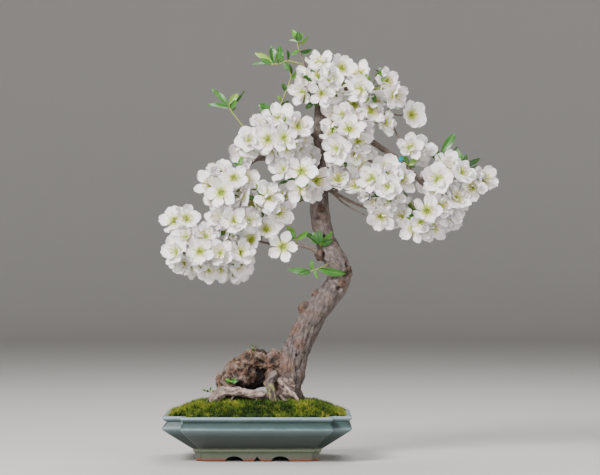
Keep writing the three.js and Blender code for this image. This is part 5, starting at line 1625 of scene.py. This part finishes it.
def bed_mesh(name, under, sunk, bottom, finish):
    """A layer that fills the pot's mouth and rolls down to its rim: its top stands under the moss's by the
    depths of its edge and its middle, sunk. bottom: the rings below it as (z, inset)."""
    clear = POT["wall"] + GROUND["gap"]
    edge = notched_outline(GROUND["mouth_inset"], clear, 1.5)
    mouth = divided(edge, edge, 5)
    bm = bmesh.new()
    layer = bm.verts.layers.float.new("open")
    rings = []
    for z, inset in bottom:
        outline = divided(notched_outline(inset, clear, 1.5), edge, 5)
        rings.append([bm.verts.new(to_scene((p.x, p.y, z))) for p in outline])
    shares = [
        1, 0.99, 0.98, 0.965, 0.945, 0.92, 0.89, 0.85, 0.8, 0.74, 0.67, 0.6, 0.52, 0.44, 0.36, 0.28, 0.2,
        0.12, 0.05,
    ]
    for share in shares:
        roll = math.sin(min(1, (1 - share) * GROUND["half"] / GROUND["roll"]) * math.pi / 2)
        ring = []
        for p in mouth:
            x, y = p.x * share, p.y * share
            high = between(GROUND["rim"], ground_height(x, y), roll) - between(under, sunk, roll)
            vert = bm.verts.new(to_scene((x, y, high)))
            vert[layer] = 1.0 if share > 0.1 else 0.0
            ring.append(vert)
        rings.append(ring)
    wrap_rings(bm, rings)
    return mesh_of(bm, name, finish)


# Flowers and leaves


def flower_parts(bloom, petals, stamens, calyxes, stalks, spur, settings):
    """Adds one flower's petals, stamens, calyx and stalk to the lists."""
    facing, turn, seed = bloom["facing"], bloom["turn"], bloom["seed"] * 30 + 50000
    radius = bloom["radius"] * settings.fullness
    lay = Vector((0, 0, 1)).rotation_difference(facing)
    middle = bloom["middle"]

    def petal(angle, tilt, length, width, number, away):
        spin = Quaternion((0, 0, 1), angle) @ Quaternion((0, 1, 0), -tilt) @ Quaternion((1, 0, 0), 0.16)
        foot = lay @ Vector((away * math.cos(angle), away * math.sin(angle), 0))
        size = (length * MM, length * width * MM, length * MM)
        tint = draw(seed + 7) * 0.7 + 0.3 * draw(seed + number)
        petals.append((to_scene(middle + foot), lay @ spin, size, number, tint))

    slim = between(0.78, 1.1, draw(seed + 27))
    for i in range(BLOOM["petals"]):
        lift = bloom["cup"] * (1 + 0.3 * math.sin(i * 2.4 + turn))
        angle = turn + i * 2 * math.pi / BLOOM["petals"] + 0.12 * (draw(seed + i) - 0.5)
        length = radius * between(0.92, 1.03, draw(seed + 10 + i)) * math.hypot(1, lift)
        wide = slim * between(0.92, 1.08, draw(seed + 28 + i))
        petal(angle, math.atan(lift), length, wide, int(draw(seed + 20 + i) * 8), 0.02 * radius)
    if draw(seed + 5) < settings.double_share and not bloom.get("bud") and bloom["spray"] not in SINGLE:
        inner = 3 + int(draw(seed + 6) * 3)
        for i in range(inner):
            angle = turn + (i + 0.5) * 2 * math.pi / inner + 0.5 * (draw(seed + 11 + i) - 0.5)
            tilt = math.radians(between(26, 56, draw(seed + 15 + i)))
            length = radius * between(0.62, 0.84, draw(seed + 17 + i))
            petal(angle, tilt, length, 0.86, 8 + int(draw(seed + 18 + i) * 4), 0)
    count = settings.stamens // 2 if bloom.get("bud") else settings.stamens
    for i in range(count):
        angle = i * GOLDEN_ANGLE
        lean = math.radians(6 + 42 * math.sqrt(i / count) + 6 * draw(seed + i))
        out = Quaternion((0, 0, 1), angle) @ Quaternion((0, 1, 0), lean)
        foot = Vector((math.cos(angle), math.sin(angle), 0)) * radius * 0.12 * math.sqrt(i / count)
        long = radius * between(0.3, 0.46, draw(seed + 13 + i))
        stamens.append((to_scene(middle + lay @ foot), lay @ out, (long * MM,) * 3, 0, 0.5))
    calyxes.append((to_scene(middle), lay, (max(radius, 12) * MM,) * 3, 0, 0.5))
    start = middle - facing * radius * 0.26
    back = start - facing * 3
    if (spur - start).length > 6:
        stalks.append([(*start, 1.5), (*back, 1.2), (*back.lerp(spur, 0.5), 1.1), (*spur, 1.3)])


def fillers(blooms, spur, settings):
    """The half-open buds and the small leaves that fill a spray between its flowers: blooms and leaf rows."""
    buds, leaves = [], []
    tips = [shoot["stem"][-1] for shoot in SHOOTS.values()]
    clear = [TIE_SEEN] + [(x, z, SHOOT_SEEN) for x, _, z in tips]
    reach = sum((bloom["middle"] - spur).length for bloom in blooms) / len(blooms)
    if reach < LEAST_REACH or blooms[0]["spray"] in SINGLE:
        return buds, leaves
    for bloom in blooms:
        seed = 90000 + bloom["seed"] * 12
        toward = (bloom["middle"] - spur).normalized()
        aside = toward.orthogonal().normalized()

        def outward(turn, share):
            away = aside * math.cos(turn) + toward.cross(aside) * math.sin(turn)
            return (toward + away * between(0.5, 1.1, share)).normalized()

        for k in range(settings.leaflets):
            out = outward(2 * math.pi * draw(seed + k), draw(seed + 3 + k))
            length = between(11, 19, draw(seed + 6 + k))
            base = spur + out * (reach + between(0, 7, draw(seed + 8 + k)) - length)
            across = out.cross(Vector((0, -1, 0.3))).normalized()
            up = across.cross(out).normalized()
            lay = Matrix((out, up.cross(out), up)).transposed().to_quaternion()
            kind, tint = int(draw(seed + 9) * LEAVES), draw(seed + 10 + k)
            leaves.append((to_scene(base), lay, (length * MM,) * 3, kind, tint))
        for k in range(settings.buds):
            turn = 2 * math.pi * draw(seed + 12 + 40 * k)
            out = outward(turn, draw(seed + 15 + 40 * k))
            closed = draw(seed + 14 + 40 * k) < settings.closed
            place = spur + out * reach
            if any(math.hypot(place.x - x, place.z - z) < space for x, z, space in clear):
                continue
            smallest, largest = (3.8, 6.2) if closed else (12, 16)
            buds.append({
                "spray": bloom["spray"],
                "facing": (out + Vector((0, -0.5 if spur.y > bloom["middle"].y else 0.5, 0))).normalized(),
                "middle": spur + out * (reach - (3 if closed else 6)),
                "radius": between(smallest, largest, draw(seed + 13 + k)),
                "turn": turn,
                "cup": between(1.3, 2.4, draw(seed + 16)) if closed else between(0.4, 0.9, draw(seed + 17)),
                "seed": bloom["seed"] + 3000 * (k + 1),
                "bud": closed,
            })
    return buds, leaves


def scattered(name, rows, shapes, tree, finish):
    """The mesh of the shapes put on the rows (place, turn, size, kind, tint)."""
    places, turns, sizes, kinds, tints = zip(*rows)
    base = point_mesh(name, places, turn=turns, size=sizes, kind=kinds, tint=tints)
    return grow_mesh(name, base, tree, Shapes=shapes, Finish=finish)


def leaf_rows(name):
    """The leaves of a shoot as rows (place, turn, size, kind, tint)."""
    shoot = SHOOTS[name]
    seed = 2000 + list(SHOOTS).index(name) * 20
    path = smooth_path(shoot["stem"], 0.5)[:, :3]

    def stem_at(share):
        at = share * (len(path) - 1)
        low = min(int(at), len(path) - 2)
        base = Vector(path[low]).lerp(Vector(path[low + 1]), at - low)
        return base, (Vector(path[low + 1]) - Vector(path[low])).normalized()

    placed = []
    for share, x, z, back, turn in shoot.get("blades", []):
        base, _ = stem_at(share)
        out = Vector((x, base.y + back, z)) - base
        face = Quaternion(out.normalized(), math.radians(turn)) @ Vector((0, -1, 0))
        placed.append((base, out, face))
    count = shoot.get("leaves", 0)
    for i in range(count):
        base, tangent = stem_at(1 - 0.6 * (i / count))
        aside = Vector((math.cos(i * GOLDEN_ANGLE + seed), math.sin(i * GOLDEN_ANGLE + seed), 0.2))
        aside = (aside - tangent * aside.dot(tangent)).normalized()
        lean = math.radians(shoot["spread"] * (0.75 + 0.5 * draw(seed + i)))
        out = tangent * math.cos(lean) + aside * math.sin(lean)
        placed.append((base, out * shoot["size"] * (0.7 + 0.3 * draw(seed + 10 + i)), tangent))
    rows = []
    for i, (base, out, face) in enumerate(placed):
        across = out.cross(face).normalized()
        up = across.cross(out).normalized()
        lay = Matrix((out.normalized(), up.cross(out).normalized(), up)).transposed().to_quaternion()
        kind = int(draw(seed + 15 + i) * LEAVES)
        wide = min(1.1, 12 / out.length + 0.35)
        size = (out.length * MM, out.length * wide * MM, out.length * wide * MM)
        rows.append((to_scene(base), lay, size, kind, draw(seed + 5 + i)))
    return rows


# Settings


def colour_setting(name, description, colour):
    """A setting that holds a colour, given as sRGB hex."""
    return FloatVectorProperty(
        name=name, description=description, subtype="COLOR", size=3, min=0, max=1, default=linear(colour)[:3]
    )


def length_setting(name, description, millimetres):
    """A setting that holds a length, given in millimetres."""
    return FloatProperty(
        name=name, description=description, default=millimetres * MM, unit="LENGTH", subtype="DISTANCE"
    )


class QUINCE_PG_wood(bpy.types.PropertyGroup):
    """Sizes and colours of the trunk and branches."""

    voxel: length_setting("Skin step", "Distance between two points of the trunk's skin", 1.25)
    fissures: FloatProperty(
        name="Fissure depth", description="Depth of the old bark's fissures, in mm", default=1.5, min=0, max=3
    )
    pits: FloatProperty(
        name="Rot depth", description="Depth of the pits in the rotten burl, in mm", default=5.5, min=0, max=8
    )
    skin: length_setting("Bark thickness", "How far the bark stands out from the limbs' given radii", 0.9)
    twist: FloatProperty(name="Twist", description="Turn of the grain, in radians for each mm", default=0.012)
    warm_bark: colour_setting("Warm bark", "Colour of the flaking patches", "#6d5448")
    rust: colour_setting("Rust", "Colour of the reddish patches", "#6d4735")
    lichen: colour_setting("Lichen", "Colour of the lichen's crust", "#8d8a55")
    algae: colour_setting("Algae", "Colour of the mossy root", "#85824f")
    tape: colour_setting("Tying tape", "Colour of the tie on the right branch", "#1c7077")


class QUINCE_PG_blossom(bpy.types.PropertyGroup):
    """Sizes and colours of the flowers."""

    stamens: IntProperty(name="Stamens", description="Stamens in each flower", default=22, min=5, max=40)
    double_share: FloatProperty(
        name="Half-double share", description="Share of the flowers that have inner petals", default=0.7,
        min=0, max=1, subtype="FACTOR",
    )
    leaflets: IntProperty(
        name="Leaflets", description="Small leaves beside each flower", default=2, min=0, max=3,
    )
    fullness: FloatProperty(
        name="Fullness", description="How far the petals reach, against the flowers' radius", default=1.14
    )
    buds: IntProperty(name="Young flowers", description="Young flowers beside each flower", default=2, max=3)
    closed: FloatProperty(
        name="Closed share", description="Share of the young flowers that are still buds", default=0.4, min=0,
        max=1, subtype="FACTOR",
    )
    painted_shade_tint: colour_setting("Blush", "Tint that the shaded petals take", "#efe6ea")


class QUINCE_PG_leaf(bpy.types.PropertyGroup):
    """Sizes and colours of the leaves."""

    vein: colour_setting("Vein", "Colour of the rib and the side veins", "#7aa548")


class QUINCE_PG_pot(bpy.types.PropertyGroup):
    """Sizes and colours of the pot."""

    rounding: length_setting("Corner rounding", "Radius of the notched corners", 3.0)
    glaze: colour_setting("Glaze", "Colour of the celadon glaze", "#5f7573")


class QUINCE_PG_moss(bpy.types.PropertyGroup):
    """How dense and long the moss is."""

    density: FloatProperty(
        name="Density", description="Sprigs to each square metre", default=120000, min=1000, max=400000
    )
    smallest: FloatProperty(name="Smallest", description="Scale of the smallest sprig", default=0.9)
    largest: FloatProperty(name="Largest", description="Scale of the largest sprig", default=2.4)


class QUINCE_PG_studio(bpy.types.PropertyGroup):
    """Floor, light and camera."""

    paper: colour_setting("Paper", "Colour of the floor and backdrop", "#b9b6b1")
    distance: length_setting("Camera distance", "How far the camera stands from the pot's middle", 3800)
    key: FloatProperty(name="Key", description="Power of the main softbox", default=170, unit="POWER")
    fill: FloatProperty(name="Fill", description="Power of the right-hand softbox", default=36, unit="POWER")
    top: FloatProperty(name="Top", description="Power of the softbox overhead", default=46, unit="POWER")
    front: FloatProperty(name="Front", description="Power of the low front softbox", default=82, unit="POWER")


# Operators


class QUINCE_OT_studio(bpy.types.Operator):
    """Makes the pale floor, curved up all round into a backdrop, the soft lights and the camera"""

    bl_idname = "quince.studio"
    bl_label = "Studio"

    def execute(self, context):
        settings = context.scene.quince_studio
        floor, bend = STUDIO["floor"], STUDIO["bend"]
        angles = np.linspace(0, math.pi / 2, 13)
        curve = [(floor + bend * math.sin(a), bend - bend * math.cos(a)) for a in angles]
        profile = [(0.5, 0.0), *curve, (floor + bend, STUDIO["wall"])]
        turns = [i / STUDIO["sides"] * 2 * math.pi for i in range(STUDIO["sides"])]
        bm = bmesh.new()
        rings = [[bm.verts.new((r * math.cos(t), r * math.sin(t), z)) for t in turns] for r, z in profile]
        bm.faces.new(rings[0])
        wrap_rings(bm, rings[::-1], capped=False)
        sweep = add_object("studio_sweep", mesh_of(bm, "studio sweep", studio_paper(settings)))

        target = Vector((0, 0, 0.33))
        for name, place, power, size in (
            ("key", (-1.5, -1.9, 1.9), settings.key, 1.1),
            ("fill", (2.1, -1.7, 0.9), settings.fill, 1.6),
            ("top", (0.3, 0.9, 2.2), settings.top, 1.4),
            ("front", (-0.54, -4.6, 0.5), settings.front, 2.3),
        ):
            light = bpy.data.lights.new(name, "AREA")
            light.energy = power
            light.size = size
            lamp = add_object(name, light)
            lamp.location = place
            lamp.visible_camera = False
            lamp.rotation_euler = (target - Vector(place)).to_track_quat("-Z", "Y").to_euler()
        world = bpy.data.worlds.new("studio")
        world.use_nodes = True
        sky = world.node_tree.nodes["Background"]
        feed(world.node_tree, sky, {"Color": linear("#dfe3e8"), "Strength": 0.3})
        context.scene.world = world

        camera = bpy.data.cameras.new("camera")
        camera.sensor_width = 36
        camera.lens = camera.sensor_width * VIEW["focal"] / VIEW["width"]
        camera.clip_end = 50
        eye = add_object("camera", camera)
        eye.location = to_scene((VIEW["across"], -settings.distance / MM, VIEW["up"]))
        eye.rotation_euler = (math.pi / 2, 0, 0)
        context.scene.camera = eye
        return {"FINISHED"}


class QUINCE_OT_trunk(bpy.types.Operator):
    """Makes the trunk, surface roots and old burl as one fissured skin"""

    bl_idname = "quince.trunk"
    bl_label = "Trunk and roots"

    def execute(self, context):
        settings = context.scene.quince_wood
        finish = bark(settings, "old quince bark", 5, False)
        mesh = trunk_mesh(settings, limb_tree(), finish)
        add_piece("trunk_and_roots", mesh, "tree_wood")
        return {"FINISHED"}


class QUINCE_OT_branches(bpy.types.Operator):
    """Makes the branches and twigs"""

    bl_idname = "quince.branches"
    bl_label = "Branches"

    def execute(self, context):
        settings = context.scene.quince_wood
        finish = bark(settings, "young quince bark", 3, True)
        tree = limb_tree()
        meshes = []
        thin = [name for name in LIMBS if name not in THICK_LIMBS]
        for name in thin:
            paths = path_mesh(name, [flared(LIMBS[name])], 2.5)
            meshes.append(grow_mesh(name, paths, tree, Sides=14, Swelling=0.7, Finish=finish))
        rootlets = path_mesh("rootlets", ROOTLETS, 2)
        meshes.append(grow_mesh("rootlets", rootlets, tree, Sides=10, Swelling=0.9, Finish=finish))
        add_piece("branches", joined_mesh("branches", meshes), "tree_wood")
        return {"FINISHED"}


class QUINCE_OT_tie(bpy.types.Operator):
    """Makes the teal tie on the right branch"""

    bl_idname = "quince.tie"
    bl_label = "Tie"

    def execute(self, context):
        paint_node("branch_tie", tying_tape(context.scene.quince_wood))
        return {"FINISHED"}


class QUINCE_OT_blossom(bpy.types.Operator):
    """Makes every spray of flowers"""

    bl_idname = "quince.blossom"
    bl_label = "Blossom"

    def execute(self, context):
        settings = context.scene.quince_blossom
        petal_finish = petal_tissue(settings)
        stamen_finish = stamen_tissue()
        calyx_finish = calyx_tissue()
        leaf_finish = leaf_tissue(context.scene.quince_leaf)
        spur_finish = bark(context.scene.quince_wood, "spur bark", 2.5, True)
        scatter, limbs = scatter_tree(), limb_tree()
        petal_shapes = collect("petal", [petal_mesh(i) for i in range(12)])
        stamen_shapes = collect("stamen", [stamen_mesh()])
        calyx_shapes = collect("calyx", [calyx_mesh()])
        leaf_shapes = collect("leaf", [leaf_mesh(i) for i in range(LEAVES)])
        for name in SPRAYS:
            petals, stamens, calyxes, stalks = [], [], [], []
            spur, root = spur_of(name)
            blooms = [bloom for bloom in BLOOMS if bloom["spray"] == name]
            buds, leaves = fillers(blooms, spur, settings)
            for bloom in blooms + buds:
                flower_parts(bloom, petals, stamens, calyxes, stalks, spur, settings)
            away = (spur - root).normalized()
            knob = [(*root, 1.8), (*root.lerp(spur, 0.6), 2.4), (*spur, 3.4), (*(spur + away * 3), 1.2)]
            stub = path_mesh("spur", [knob], 1.5)
            meshes = [
                scattered("petals", petals, petal_shapes, scatter, petal_finish),
                scattered("stamens", stamens, stamen_shapes, scatter, stamen_finish),
                scattered("calyxes", calyxes, calyx_shapes, scatter, calyx_finish),
                grow_mesh("spur", stub, limbs, Sides=10, Swelling=1.2, Finish=spur_finish),
            ]
            if leaves:
                meshes.append(scattered("leaflets", leaves, leaf_shapes, scatter, leaf_finish))
            if stalks:
                paths = path_mesh("stalks", stalks, 2)
                meshes.append(grow_mesh("stalks", paths, limbs, Sides=6, Swelling=0.2, Finish=calyx_finish))
            add_piece(f"flowers_{name}", joined_mesh(name, meshes), f"blossom_{name}")
        for shapes in (petal_shapes, stamen_shapes, calyx_shapes, leaf_shapes):
            drop(shapes)
        return {"FINISHED"}


class QUINCE_OT_leaves(bpy.types.Operator):
    """Makes every leafy shoot"""

    bl_idname = "quince.leaves"
    bl_label = "Leaves"

    def execute(self, context):
        finish = leaf_tissue(context.scene.quince_leaf)
        stem_finish = calyx_tissue()
        scatter, limbs = scatter_tree(), limb_tree()
        shapes = collect("leaf", [leaf_mesh(i) for i in range(LEAVES)])
        for name, shoot in SHOOTS.items():
            stem = path_mesh("stem", [[(*p, shoot["radius"]) for p in shoot["stem"]]], 2)
            meshes = [
                scattered("blades", leaf_rows(name), shapes, scatter, finish),
                grow_mesh("stem", stem, limbs, Sides=8, Swelling=0.2, Finish=stem_finish),
            ]
            add_piece(f"shoot_{name}", joined_mesh(name, meshes), f"leaves_{name}")
        drop(shapes)
        return {"FINISHED"}


class QUINCE_OT_pot(bpy.types.Operator):
    """Makes the glazed pot"""

    bl_idname = "quince.pot"
    bl_label = "Pot"

    def execute(self, context):
        settings = context.scene.quince_pot
        mesh = pot_mesh(settings, celadon_glaze(settings))
        add_piece("glazed_pot", mesh, "pot")
        return {"FINISHED"}


class QUINCE_OT_drainage(bpy.types.Operator):
    """Makes the soil and finishes the two pieces of drain mesh"""

    bl_idname = "quince.drainage"
    bl_label = "Soil and drain mesh"

    def execute(self, context):
        plastic = polyethylene()
        for name in ("drain_mesh_left", "drain_mesh_right"):
            paint_node(name, plastic)
        below = [(POT["floor"] + 2.2, 34), (45, 4), (56, 2)]
        add_piece("soil_body", bed_mesh("soil body", 5, 5, below, potting_grit()), "soil")
        return {"FINISHED"}


class QUINCE_OT_moss(bpy.types.Operator):
    """Makes the mound of moss"""

    bl_idname = "quince.moss"
    bl_label = "Moss"

    def execute(self, context):
        settings = context.scene.quince_moss
        finish = moss_tissue(settings)
        bed = bed_mesh("moss bed", 0, 0, [(GROUND["rim"] - 4, GROUND["mouth_inset"])], finish)
        shapes = collect("sprig", [sprig_mesh(i) for i in range(SPRIGS)])
        sprigs = grow_mesh(
            "sprigs", bed, tuft_tree(), Shapes=shapes, Density=settings.density, Smallest=settings.smallest,
            Largest=settings.largest, Finish=finish,
        )
        add_piece("moss_bed", bed, "moss")
        add_piece("moss_sprigs", sprigs, "moss")
        drop(shapes)
        return {"FINISHED"}


class QUINCE_PT_panel(bpy.types.Panel):
    """Lists the pieces and their settings in the 3D view's sidebar"""

    bl_idname = "QUINCE_PT_panel"
    bl_label = "Quince bonsai"
    bl_space_type = "VIEW_3D"
    bl_region_type = "UI"
    bl_category = "Bonsai"

    def draw(self, context):
        scene = context.scene
        for group in SETTINGS:
            box = self.layout.box()
            settings = getattr(scene, group)
            box.label(text=group.replace("quince_", "").capitalize())
            for label in settings.__annotations__:
                box.prop(settings, label)
        for operator in OPERATORS:
            self.layout.operator(operator.bl_idname)


SETTINGS = {
    "quince_wood": QUINCE_PG_wood,
    "quince_blossom": QUINCE_PG_blossom,
    "quince_leaf": QUINCE_PG_leaf,
    "quince_pot": QUINCE_PG_pot,
    "quince_moss": QUINCE_PG_moss,
    "quince_studio": QUINCE_PG_studio,
}
OPERATORS = [
    QUINCE_OT_studio,
    QUINCE_OT_trunk,
    QUINCE_OT_branches,
    QUINCE_OT_tie,
    QUINCE_OT_blossom,
    QUINCE_OT_leaves,
    QUINCE_OT_pot,
    QUINCE_OT_drainage,
    QUINCE_OT_moss,
]


def register():
    for name, group in SETTINGS.items():
        bpy.utils.register_class(group)
        setattr(bpy.types.Scene, name, PointerProperty(type=group))
    for operator in OPERATORS:
        bpy.utils.register_class(operator)
    bpy.utils.register_class(QUINCE_PT_panel)


def unregister():
    bpy.utils.unregister_class(QUINCE_PT_panel)
    for operator in reversed(OPERATORS):
        bpy.utils.unregister_class(operator)
    for name, group in SETTINGS.items():
        delattr(bpy.types.Scene, name)
        bpy.utils.unregister_class(group)


def main():
    """Registers the add-on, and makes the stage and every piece."""
    register()
    bpy.ops.quince.studio()
    bpy.ops.quince.trunk()
    bpy.ops.quince.branches()
    bpy.ops.quince.tie()
    bpy.ops.quince.blossom()
    bpy.ops.quince.leaves()
    bpy.ops.quince.pot()
    bpy.ops.quince.drainage()
    bpy.ops.quince.moss()


if __name__ == "__main__":
    main()
